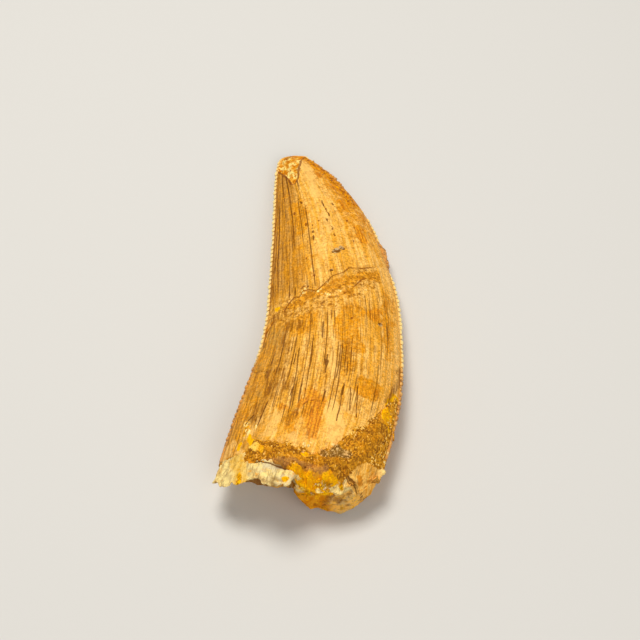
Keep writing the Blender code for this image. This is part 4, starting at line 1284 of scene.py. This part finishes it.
def finish_material(tree, shader, colour, roughness, height, distance):
    """Links colour, roughness and a bump of the given distance in mm to the shader."""
    bump = add(tree, "Bump", {"Height": height, "Strength": 1.0, "Distance": distance * MM})
    tree.links.new(colour, shader.inputs["Base Color"])
    tree.links.new(roughness, shader.inputs["Roughness"])
    tree.links.new(bump.outputs["Normal"], shader.inputs["Normal"])


# %% [markdown]
# ## Colours
# The stone colours of this tooth: honey and cream enamel, iron stains from yellow ochre to deep
# orange, white chalky dentine, and brown sand. They are picked as they look in soft daylight.

# %% Named colours
CREAM = paint(255, 200, 107)            # enamel and its stains
HONEY = paint(236, 168, 54)
TAN = paint(176, 112, 18)
OLIVE = paint(150, 116, 40)
AMBER = paint(238, 158, 0)
DEEP_AMBER = paint(210, 126, 0)
RUSTY_BRIGHT = paint(238, 158, 24)
RUSTY_DEEP = paint(196, 108, 0)
RUST = paint(130, 64, 4)
BROWN = paint(128, 70, 2)
CRACK_BROWN = paint(104, 54, 0)
GROOVE_BROWN = paint(142, 80, 8)
CHIP_PALE = paint(255, 226, 132)        # what fills the chip, the pit and the mended break
CHIP_AMBER = paint(238, 166, 40)
PIT_GREY = paint(124, 78, 14)
PIT_PALE = paint(200, 168, 116)
GLUE_PALE = paint(255, 232, 150)
SAW_CREAM = paint(255, 228, 150)
CHALK = paint(255, 228, 148)            # dentine
CHALK_GREY = paint(208, 176, 112)
CHALK_PALE = paint(238, 220, 172)
PEACH = paint(255, 196, 92)
PEACH_DEEP = paint(226, 154, 42)
ROOT_YELLOW = paint(240, 182, 44)
ROOT_GREY = paint(186, 180, 156)
# Grey-brown of the root's fibre lines, and of the painted shade between the strands of the hollow.
FIBRE_AND_CREVICE_SHADE = paint(150, 114, 62)
STUB_AMBER = paint(226, 150, 20)
OCHRE = paint(255, 190, 0)              # ochre powder
OCHRE_DEEP = paint(238, 162, 0)
OCHRE_PALE = paint(255, 222, 110)
SAND = paint(226, 156, 34)              # sand
SAND_DARK = paint(150, 92, 14)
SAND_PALE = paint(255, 208, 110)
SAND_MAUVE = paint(184, 130, 76)
GRAIN_GREY = paint(126, 94, 44)
GRAIN_CREAM = paint(222, 184, 122)


# %% [markdown]
# ## Enamel
# Enamel is a satin, slightly translucent skin: cream and honey streaks along the grain, mottled
# with iron stain, and thin brown lines where it has cracked. The masks of the mesh place the marks
# and the shared groups fray and break them. Painting all of it into the mesh's points would look
# soft up close, because a point stands for a tenth of a millimetre and a hairline is thinner.

# %% Layers of the enamel
def enamel_tone(tree, place, run, fine):
    """Cream and honey streaks, tan borders, and the olive and amber streaks of the distal band."""
    streaks = texture_noise(tree, stretched(tree, run, (0.1, 1.3, 1.0)), 1.0, 4.0, 0.65)
    colour = mix(tree, ramp(tree, streaks, 0.38, 0.62), HONEY, CREAM)
    tanned = ramp(tree, fine, 0.3, 0.6, 0.95, 0.6)
    colour = lay(tree, colour, TAN, frayed(tree, "tan", place, 0.7, 0.7, 0.4), tanned)
    band = maths(tree, "MULTIPLY", mask_of(tree, "band"), ramp(tree, streaks, 0.42, 0.56))
    band_colour = mix(tree, mottled(tree, place, 0.5, 0.4, 0.55), OLIVE, AMBER)
    colour = lay(tree, colour, band_colour, band, 0.8)
    clouds = mottled(tree, stretched(tree, run, (0.35, 0.9, 1.0)), 1.0, 0.5, 0.66)
    return lay(tree, colour, AMBER, clouds, 0.5)


def enamel_stains(tree, colour, place, streaky, fine):
    """Iron stains from amber to brown, drawn out along the grain."""
    amber_colour = mix(tree, ramp(tree, fine, 0.38, 0.58), DEEP_AMBER, AMBER)
    honeyed = ramp(tree, texture_noise(tree, place, 3.0, 4.0, 0.7), 0.46, 0.6)
    amber_colour = mix(tree, honeyed, amber_colour, HONEY)
    amber = frayed(tree, "amber", streaky, 1.4, 1.5, 0.3)
    flecks = mottled(tree, place, 1.9, 0.48, 0.6)
    colour = lay(tree, colour, amber_colour, amber, 0.9)
    colour = lay(tree, colour, DEEP_AMBER, maths(tree, "MULTIPLY", amber, flecks), 0.6)
    colour = lay(tree, colour, AMBER, flecks, 0.3)
    for tint, share, cut in ((DEEP_AMBER, 0.5, (1.0, 0.5, 0.6)), (CREAM, 0.5, (1.3, 0.54, 0.62)),
                             (RUST, 0.35, (2.2, 0.56, 0.64))):
        colour = lay(tree, colour, tint, blotched(tree, "mottles", place, *cut), share)
    rusty_colour = mix(tree, ramp(tree, fine, 0.4, 0.6), RUSTY_DEEP, RUSTY_BRIGHT)
    colour = lay(tree, colour, rusty_colour, frayed(tree, "rusty", streaky, 2.2, 2.0, 0.25), 0.92)
    colour = lay(tree, colour, CREAM, frayed(tree, "cream", streaky, 1.5, 1.3, 0.3), 0.85)
    shade = ramp(tree, fine, 0.42, 0.56, 0.9, 0.12)
    return lay(tree, colour, BROWN, frayed(tree, "brown", streaky, 1.6, 1.8, 0.5), shade)


def enamel_cracks(tree, colour, place, run, streaky, fine):
    """Hairlines along the grain, on the distal band and where the enamel is dry, then the cells of
    crazed enamel and the crumbs of the mended break. Hands back the dry hairlines for the bump."""
    dry = mask_of(tree, "dry")
    colour = lay(tree, colour, TAN, ramp(tree, fine, 0.34, 0.5, 0.7, 0.0), dry)
    banded = hairlines(tree, run, 0.42, 3.5, 0.13, 17.0)
    banded = maths(tree, "MULTIPLY", banded, frayed(tree, "band", streaky, 1.2, 1.0, 0.3))
    colour = lay(tree, colour, BROWN, banded, 0.55)
    paler = maths(tree, "MULTIPLY", ramp(tree, fine, 0.54, 0.66), mask_of(tree, "band"))
    colour = lay(tree, colour, CREAM, paler, 0.6)
    thin = maths(tree, "MULTIPLY", hairlines(tree, run, 0.23, 2.0, 0.05, 9.0), dry)
    colour = lay(tree, colour, BROWN, thin, 0.45)
    lines = maths(tree, "MULTIPLY", hairlines(tree, run, 0.36, 3.0, 0.075, 3.0), dry)
    colour = lay(tree, colour, BROWN, lines, 0.6)
    hair = ramp(tree, mask_of(tree, "hair"), 0.4, 0.75, 0.0, 0.82)
    colour = mix(tree, hair, colour, CRACK_BROWN)
    rims = use(tree, GRAINS, Vector=place, Size=0.7)["Rim"]
    colour = lay(tree, colour, BROWN, maths(tree, "MULTIPLY", rims, mask_of(tree, "crazed")), 0.5)
    colour = lay(tree, colour, TAN, blotched(tree, "mended", place, 1.9, 0.46, 0.58), 0.7)
    colour = lay(tree, colour, BROWN, blotched(tree, "mended", place, 2.8, 0.53, 0.62), 0.65)
    return colour, lines


def enamel_speckle(tree, colour, place):
    """Patches of dirt, and a fine speckle that is calmer on the cream."""
    dirt = mottled(tree, place, 2.0, 0.48, 0.6)
    dirt = maths(tree, "MULTIPLY", dirt, mottled(tree, place, 0.5, 0.4, 0.6))
    colour = lay(tree, colour, TAN, dirt, 0.35)
    speckle = ramp(tree, texture_noise(tree, place, 4.5, 3.0, 0.75), 0.35, 0.65, 1.26, 0.74)
    calm = ramp(tree, mask_of(tree, "cream"), 0.3, 0.9, 1.0, 0.4)
    return mix(tree, calm, colour, speckle, "MULTIPLY")


def enamel_damage(tree, colour, place):
    """What fills the chip, the mended break and the pit, then the brown lines of the damage."""
    chip_colour = mix(tree, mottled(tree, place, 1.1, 0.4, 0.54), CHIP_PALE, CHIP_AMBER)
    chip_colour = mix(tree, mottled(tree, place, 2.2, 0.48, 0.58), chip_colour, DEEP_AMBER)
    chip_colour = mix(tree, mottled(tree, place, 4.2, 0.6, 0.66), chip_colour, RUST)
    colour = mix(tree, frayed(tree, "chip", place, 3.0, 0.4, 0.15), colour, chip_colour)
    gritty = frayed(tree, "grit", place, 2.0, 1.2, 0.2)
    grit_colour = mix(tree, mottled(tree, place, 2.8, 0.42, 0.58), AMBER, DEEP_AMBER)
    colour = mix(tree, gritty, colour, grit_colour)
    specks = maths(tree, "MULTIPLY", gritty, mottled(tree, place, 2.6, 0.5, 0.58))
    colour = lay(tree, colour, RUST, specks, 0.75)
    glue_colour = mix(tree, mottled(tree, place, 2.6, 0.42, 0.56), OCHRE_DEEP, GLUE_PALE)
    colour = mix(tree, frayed(tree, "glue", place, 3.0, 0.8, 0.2), colour, glue_colour)
    pit_colour = mix(tree, mottled(tree, place, 2.4, 0.47, 0.56), PIT_GREY, PIT_PALE)
    colour = mix(tree, frayed(tree, "pit", place, 2.6, 1.1, 0.15), colour, pit_colour)
    for name, share, tint in (("chip_rim", 0.75, RUST), ("groove", 0.85, GROOVE_BROWN),
                              ("cross", 0.75, RUST), ("dash", 0.85, CRACK_BROWN)):
        colour = lay(tree, colour, tint, frayed(tree, name, place, 4.0, 0.9, 0.25), share)
    return colour


# %% Material of the crown
def enamel_material():
    """Streaked tone, then stains, cracks, dirt, damage, ochre and sand, each mixed over the last."""
    material, tree, shader = new_material("cracked_enamel")
    place, run = place_mm(tree), run_of(tree)
    streaky = stretched(tree, run, (0.5, 1.6, 1.0))
    fine = texture_noise(tree, stretched(tree, run, (0.35, 4.0, 1.0)), 1.0, 4.0, 0.65)
    colour = enamel_tone(tree, place, run, fine)
    colour = enamel_stains(tree, colour, place, streaky, fine)
    colour, lines = enamel_cracks(tree, colour, place, run, streaky, fine)
    colour = enamel_speckle(tree, colour, place)
    colour = enamel_damage(tree, colour, place)
    grit = use(tree, GRAINS, Vector=place, Size=0.18)
    ochre = frayed(tree, "ochre", place, 2.4, 1.2, 0.12)
    ochre_colour = mix(tree, ramp(tree, grit["Random"], 0.1, 0.8), OCHRE_DEEP, OCHRE)
    colour = mix(tree, ochre, colour, ochre_colour)
    shade = ramp(tree, fine, 0.4, 0.6, 0.85, 0.4)
    colour = lay(tree, colour, BROWN, frayed(tree, "edge_stain", place, 3.0, 1.5, 0.3), shade)
    sand = frayed(tree, "sand", place, 2.2, 1.0, 0.1)
    sand_colour = mix(tree, ramp(tree, grit["Random"], 0.1, 0.7), SAND_DARK, SAND)
    sand_colour = mix(tree, ramp(tree, grit["Random"], 0.75, 0.95), sand_colour, SAND_PALE)
    colour = mix(tree, sand, colour, sand_colour)
    roughness = ramp(tree, maths(tree, "MAXIMUM", sand, ochre), 0.0, 1.0, 0.45, 0.9)
    height = maths(tree, "MULTIPLY", texture_noise(tree, place, 3.5, 4.0, 0.6), 0.5)
    height = maths(tree, "SUBTRACT", height, maths(tree, "MULTIPLY", lines, 0.5))
    height = maths(tree, "MULTIPLY_ADD", fine, 0.4, height)
    height = maths(tree, "MULTIPLY_ADD", grit["Height"], sand, height)
    shader.inputs["Specular IOR Level"].default_value = 0.1
    finish_material(tree, shader, colour, roughness, height, 0.07)
    return material


ENAMEL = enamel_material()
print(ENAMEL.name, len(ENAMEL.node_tree.nodes), "nodes")


# %% Material of the saw edges
def saw_material():
    """Clean cream on the crest of each denticle, brown in the slits, and stain where it is worn."""
    material, tree, shader = new_material("saw_enamel")
    place = place_mm(tree)
    colour = mix(tree, mottled(tree, place, 0.9, 0.4, 0.65), HONEY, AMBER)
    colour = mix(tree, mask_of(tree, "crest"), colour, SAW_CREAM)
    stained = maths(tree, "MULTIPLY", frayed(tree, "stained", place, 1.6, 1.2, 0.2), 0.8)
    colour = mix(tree, stained, colour, mix(tree, mottled(tree, place, 2.0, 0.45, 0.6), DEEP_AMBER, RUST))
    colour = lay(tree, colour, BROWN, mask_of(tree, "slit"), 0.85)
    roughness = ramp(tree, stained, 0.0, 1.0, 0.4, 0.7)
    finish_material(tree, shader, colour, roughness, texture_noise(tree, place, 5.0, 3.0), 0.02)
    return material


SAW = saw_material()


# %% [markdown]
# ## Dentine, ochre and sand
# Dentine is matt and chalky with grey streaks along its fibres. Ochre is a bright yellow powder on
# it. The sand crust takes its colour grain by grain, from the random number that the mesh keeps.

# %% Layers of the dentine
def chalk_side(tree, place, run, fibres):
    """Chalk with grey fibres, peach bone, paler and yellower parts, splits, and painted shade where the
    strands of the hollow dip.
    """
    colour = mix(tree, ramp(tree, fibres, 0.38, 0.58), CHALK_GREY, CHALK)
    colour = lay(tree, colour, HONEY, mottled(tree, place, 0.8, 0.5, 0.64), 0.35)
    peach_colour = mix(tree, ramp(tree, fibres, 0.4, 0.58), PEACH_DEEP, PEACH)
    colour = lay(tree, colour, peach_colour, frayed(tree, "peach", place, 1.2, 0.8, 0.2), 0.9)
    pale = blotched(tree, "hollow", stretched(tree, place, (0.6, 1.6, 1.6)), 1.0, 0.45, 0.55)
    colour = lay(tree, colour, CHALK_PALE, pale, 0.55)
    colour = lay(tree, colour, FIBRE_AND_CREVICE_SHADE, hairlines(tree, run, 0.42, 1.1, 0.09, 23.0), 0.6)
    colour = lay(tree, colour, AMBER, mottled(tree, place, 1.5, 0.58, 0.7), 0.7)
    colour = lay(tree, colour, ROOT_YELLOW, frayed(tree, "yellow", place, 1.6, 1.4, 0.3), 0.6)
    # Painted shade in the dips between the strands of the hollow.
    return lay(tree, colour, FIBRE_AND_CREVICE_SHADE, mask_of(tree, "crevice_shade"), 0.8)


def stub_face(tree, place):
    """Colour of the stub: amber bone, paler on one side, with ochre and brown blotches."""
    colour = mix(tree, mottled(tree, place, 1.2, 0.42, 0.6), DEEP_AMBER, STUB_AMBER)
    pale = mix(tree, mottled(tree, place, 1.1, 0.42, 0.6), PEACH, CHALK_GREY)
    colour = lay(tree, colour, pale, mask_of(tree, "pale_side"), 0.85)
    colour = lay(tree, colour, OCHRE, mottled(tree, place, 2.1, 0.55, 0.65), 0.7)
    colour = lay(tree, colour, BROWN, mottled(tree, place, 0.8, 0.48, 0.62), 0.6)
    return lay(tree, colour, CRACK_BROWN, mottled(tree, place, 2.3, 0.58, 0.64), 0.55)


def ochre_powder(tree, place):
    """Colour of the ochre: grains of three yellows with painted shade between them in blotches, mixed
    with sand and chalk.
    """
    crumb = use(tree, GRAINS, Vector=place, Size=0.3)
    colour = mix(tree, ramp(tree, crumb["Random"], 0.1, 0.7), OCHRE_DEEP, OCHRE)
    colour = mix(tree, ramp(tree, crumb["Random"], 0.84, 0.9), colour, OCHRE_PALE)
    # Painted shade between the crumbs, in blotches.
    crumb_shade = maths(tree, "MULTIPLY", crumb["Rim"], mottled(tree, place, 1.4, 0.42, 0.56))
    colour = lay(tree, colour, BROWN, crumb_shade, 0.7)
    colour = lay(tree, colour, SAND_DARK, blotched(tree, "mixed", place, 1.3, 0.46, 0.56), 0.6)
    return lay(tree, colour, CHALK_PALE, blotched(tree, "mixed", place, 2.6, 0.58, 0.64), 0.8)


# %% Materials of the root and the crust
def dentine_material():
    """Chalky side and broken stub, then ochre, shade, stains and cracks."""
    material, tree, shader = new_material("chalky_dentine")
    place, run = place_mm(tree), run_of(tree)
    fibres = texture_noise(tree, stretched(tree, run, (1.1, 2.6, 1.0)), 1.0, 5.0, 0.7)
    colour = chalk_side(tree, place, run, fibres)
    colour = mix(tree, frayed(tree, "stub", place, 1.1, 1.0, 0.2), colour, stub_face(tree, place))
    colour = lay(tree, colour, ROOT_GREY, mask_of(tree, "grey"), 0.6)
    colour = lay(tree, colour, CHALK, mask_of(tree, "knob"), 0.8)
    colour = mix(tree, frayed(tree, "ochre", place, 1.8, 1.0, 0.12), colour, ochre_powder(tree, place))
    # Painted shade in the low part of the hollow under the upper wall.
    colour = lay(tree, colour, BROWN, mask_of(tree, "shaded"), 0.85)
    colour = lay(tree, colour, BROWN, mottled(tree, place, 2.4, 0.6, 0.7), 0.4)
    colour = lay(tree, colour, DEEP_AMBER, frayed(tree, "red", place, 2.0, 0.7, 0.2), 0.7)
    # Brown of the cracks, and painted shade in the groove under the crust.
    colour = lay(tree, colour, CRACK_BROWN, frayed(tree, "crack", place, 4.0, 0.5, 0.2), 0.85)
    grit = use(tree, GRAINS, Vector=place, Size=0.22)
    height = maths(tree, "MULTIPLY_ADD", grit["Height"], 0.5, texture_noise(tree, place, 4.0, 4.0, 0.65))
    roughness = ramp(tree, fibres, 0.3, 0.7, 0.75, 0.92)
    shader.inputs["Specular IOR Level"].default_value = 0.12
    finish_material(tree, shader, colour, roughness, height, 0.09)
    return material


def sand_material():
    """Grains coloured by their own random number, with ochre and olive lumps, and painted shade between
    the grains.
    """
    material, tree, shader = new_material("cemented_sand")
    place = place_mm(tree)
    number = mask_of(tree, "number")
    broad = texture_noise(tree, place, 1.1, 4.0, 0.6)
    tone = ramp(tree, maths(tree, "MULTIPLY_ADD", number, 0.6, broad), 0.55, 1.05)
    colour = mix(tree, tone, SAND_DARK, SAND)
    colour = mix(tree, ramp(tree, number, 0.9, 0.99, 0.0, 0.8), colour, SAND_PALE)
    colour = lay(tree, colour, AMBER, mottled(tree, place, 0.8, 0.5, 0.62), 0.3)
    grey = mix(tree, ramp(tree, number, 0.66, 0.8), GRAIN_GREY, GRAIN_CREAM)
    colour = lay(tree, colour, grey, frayed(tree, "olive", place, 1.5, 1.2, 0.25), 0.7)
    ochre_colour = mix(tree, ramp(tree, number, 0.2, 0.9), OCHRE_DEEP, OCHRE)
    ochre_colour = lay(tree, ochre_colour, OCHRE_PALE, mask_of(tree, "lemon"), 0.75)
    colour = mix(tree, frayed(tree, "ochre", place, 2.0, 0.9, 0.1), colour, ochre_colour)
    colour = lay(tree, colour, SAND_MAUVE, frayed(tree, "mauve", place, 1.8, 1.4, 0.3), 0.5)
    # Painted shade between the grains, where their domes are low.
    gap = maths(tree, "SUBTRACT", 1.0, ramp(tree, mask_of(tree, "dome"), 0.2, 0.6))
    colour = lay(tree, colour, BROWN, gap, 0.4)
    roughness = ramp(tree, number, 0.0, 1.0, 0.7, 0.95)
    shader.inputs["Specular IOR Level"].default_value = 0.12
    finish_material(tree, shader, colour, roughness, texture_noise(tree, place, 7.0, 3.0), 0.04)
    return material


DENTINE = dentine_material()
SANDSTONE = sand_material()

# %% [markdown]
# ## Put the pieces together
# Crown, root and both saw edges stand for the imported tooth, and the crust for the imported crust.

# %% Make the pieces
tube("crown_enamel", crown_skin, crown_masks, ENAMEL, "tooth")
tube("broken_root", root_skin, root_masks, DENTINE, "tooth")
for saw_name, (saw_rings, saw_masks) in saws.items():
    tube(saw_name, saw_rings, saw_masks, SAW, "tooth")
crust_under = crust_top.copy()
crust_under[..., 2] = crust_ground - CRUST_DEPTH
crust_points = np.concatenate([crust_top.reshape(-1, 3), crust_under.reshape(-1, 3)])
crust_values = {key: np.tile(values.ravel(), 2) for key, values in crust_masks.items()}
add_piece("sand_crust", crust_points, [slab_faces(*crust_top.shape[:2])], crust_values, SANDSTONE,
          "matrix_crust")


# %% [markdown]
# ## Loose grains
# Single grains of quartz and ochre stick out of the crust and sit in the hollows of the root. They
# are one joined mesh: a small round grid is copied to every place, each with its own size, squash
# and turn. Instances would be lighter, but they are lost when the model is exported.

# %% Scatter the grains
STONE_RINGS = 4
STONE_AROUND = 7
STONE_COUNT = 420
STONE_MARGIN = 8          # grid steps of the crust left free at its border


def ball_grid():
    """Unit ball of rings between two poles, and its faces."""
    tilt = np.linspace(0.0, np.pi, STONE_RINGS + 2)[1:-1]
    turn = np.linspace(0.0, 2 * np.pi, STONE_AROUND, endpoint=False)
    rings = np.stack([np.sin(tilt)[:, None] * np.cos(turn), np.sin(tilt)[:, None] * np.sin(turn),
                      np.cos(tilt)[:, None] * np.ones_like(turn)], axis=-1).reshape(-1, 3)
    index = np.arange(len(rings)).reshape(STONE_RINGS, STONE_AROUND)
    beside = np.roll(index, -1, axis=1)
    quads = np.stack([index[:-1], index[1:], beside[1:], beside[:-1]], axis=-1).reshape(-1, 4)
    top, bottom = len(rings), len(rings) + 1
    first = np.stack([index[0], beside[0], np.full(STONE_AROUND, top)], axis=-1)
    last = np.stack([beside[-1], index[-1], np.full(STONE_AROUND, bottom)], axis=-1)
    return np.concatenate([rings, [[0, 0, 1], [0, 0, -1]]]), quads, np.concatenate([first, last])


def stones(name, places, sizes, masks, seed):
    """Joined mesh of stones: the ball times a size per axis, turned about z, with dented points."""
    ball, quads, caps = ball_grid()
    dice = np.random.default_rng(seed)
    count = len(places)
    size = sizes[:, None] * dice.uniform(0.75, 1.25, (count, 3))
    dents = dice.uniform(0.82, 1.12, (count, len(ball), 1))
    shape = ball * size[:, None] * dents
    turn = dice.uniform(0.0, 2 * np.pi, count)[:, None]
    x = shape[..., 0] * np.cos(turn) - shape[..., 1] * np.sin(turn)
    y = shape[..., 0] * np.sin(turn) + shape[..., 1] * np.cos(turn)
    points = np.stack([x, y, shape[..., 2]], axis=-1) + places[:, None]
    offset = (np.arange(count) * len(ball))[:, None, None]
    faces = [(block[None] + offset).reshape(-1, block.shape[1]) for block in (quads, caps)]
    values = {key: np.repeat(value, len(ball)) for key, value in masks.items()}
    values["number"] = np.repeat(dice.uniform(0.0, 1.0, count), len(ball))
    values["dome"] = np.ones(count * len(ball))
    add_piece(name, points.reshape(-1, 3), faces, values, SANDSTONE, "matrix_crust")


dice = np.random.default_rng(500)
row = dice.integers(STONE_MARGIN, CRUST_COLUMNS - STONE_MARGIN, STONE_COUNT)
column = dice.integers(STONE_MARGIN, CRUST_ROWS - STONE_MARGIN, STONE_COUNT)
stone_sizes = dice.uniform(0.06, 0.15, STONE_COUNT) * dice.uniform(0.6, 1.4, STONE_COUNT)
stone_masks = {key: crust_masks[key][row, column] for key in ("ochre", "mauve", "lemon", "olive")}
stones("loose_grains", crust_top[row, column], stone_sizes, stone_masks, 501)

# %% [markdown]
# ## Floor, light and camera
# The tooth lies on a plain pale floor under one large soft lamp above and behind it, so that its
# shadow falls towards us, with a weaker lamp in front. The camera looks down at it with a long lens.

# %% Studio
CARD = paint(210, 208, 204)


def lamp(name, place, aim, size, power, colour):
    """A square area lamp at place, in metres, turned to aim."""
    data = bpy.data.lights.new(name, "AREA")
    data.size = size
    data.energy = power
    data.color = colour
    item = bpy.data.objects.new(name, data)
    item.location = place
    item.rotation_euler = (Vector(aim) - Vector(place)).to_track_quat("-Z", "Y").to_euler()
    bpy.context.scene.collection.objects.link(item)


def floor_material():
    """Plain pale matt card."""
    material, _, shader = new_material("pale_card")
    shader.inputs["Base Color"].default_value = CARD
    shader.inputs["Roughness"].default_value = 0.9
    return material


FLOOR_HALF = 1.5          # metres
floor_mesh = bpy.data.meshes.new("floor")
corners = [(-FLOOR_HALF, -FLOOR_HALF, 0), (FLOOR_HALF, -FLOOR_HALF, 0), (FLOOR_HALF, FLOOR_HALF, 0),
           (-FLOOR_HALF, FLOOR_HALF, 0)]
floor_mesh.from_pydata(corners, [], [(0, 1, 2, 3)])
floor_mesh.materials.append(floor_material())
floor = bpy.data.objects.new("floor", floor_mesh)
bpy.context.scene.collection.objects.link(floor)

AIM = np.array([1.03, 1.28, 0.0]) * MM
lamp("key", (-0.05, 0.09, 0.33), AIM, 0.15, 0.98, (1.0, 0.98, 0.93))
lamp("front", (0.10, -0.30, 0.24), AIM, 0.3, 0.65, (1.0, 0.97, 0.93))
world = bpy.data.worlds.new("studio")
world.use_nodes = True
world.node_tree.nodes["Background"].inputs["Color"].default_value = (1.0, 0.98, 0.95, 1.0)
world.node_tree.nodes["Background"].inputs["Strength"].default_value = 0.26
bpy.context.scene.world = world

CAMERA_ELEVATION = np.radians(55.0)
CAMERA_DISTANCE = 0.2475  # metres
CAMERA_LENS = 120         # mm, on a sensor 36 mm wide
CAMERA_SENSOR = 36
camera_data = bpy.data.cameras.new("camera")
camera_data.lens = CAMERA_LENS
camera_data.sensor_width = CAMERA_SENSOR
camera_data.clip_start = 0.01
camera = bpy.data.objects.new("camera", camera_data)
backward = Vector((0.0, -np.cos(CAMERA_ELEVATION), np.sin(CAMERA_ELEVATION)))
camera.location = Vector(AIM) + backward * CAMERA_DISTANCE
camera.rotation_euler = (-backward).to_track_quat("-Z", "Y").to_euler()
bpy.context.scene.collection.objects.link(camera)
bpy.context.scene.camera = camera
bpy.context.scene.view_settings.view_transform = "Standard"
bpy.context.scene.view_settings.look = "None"
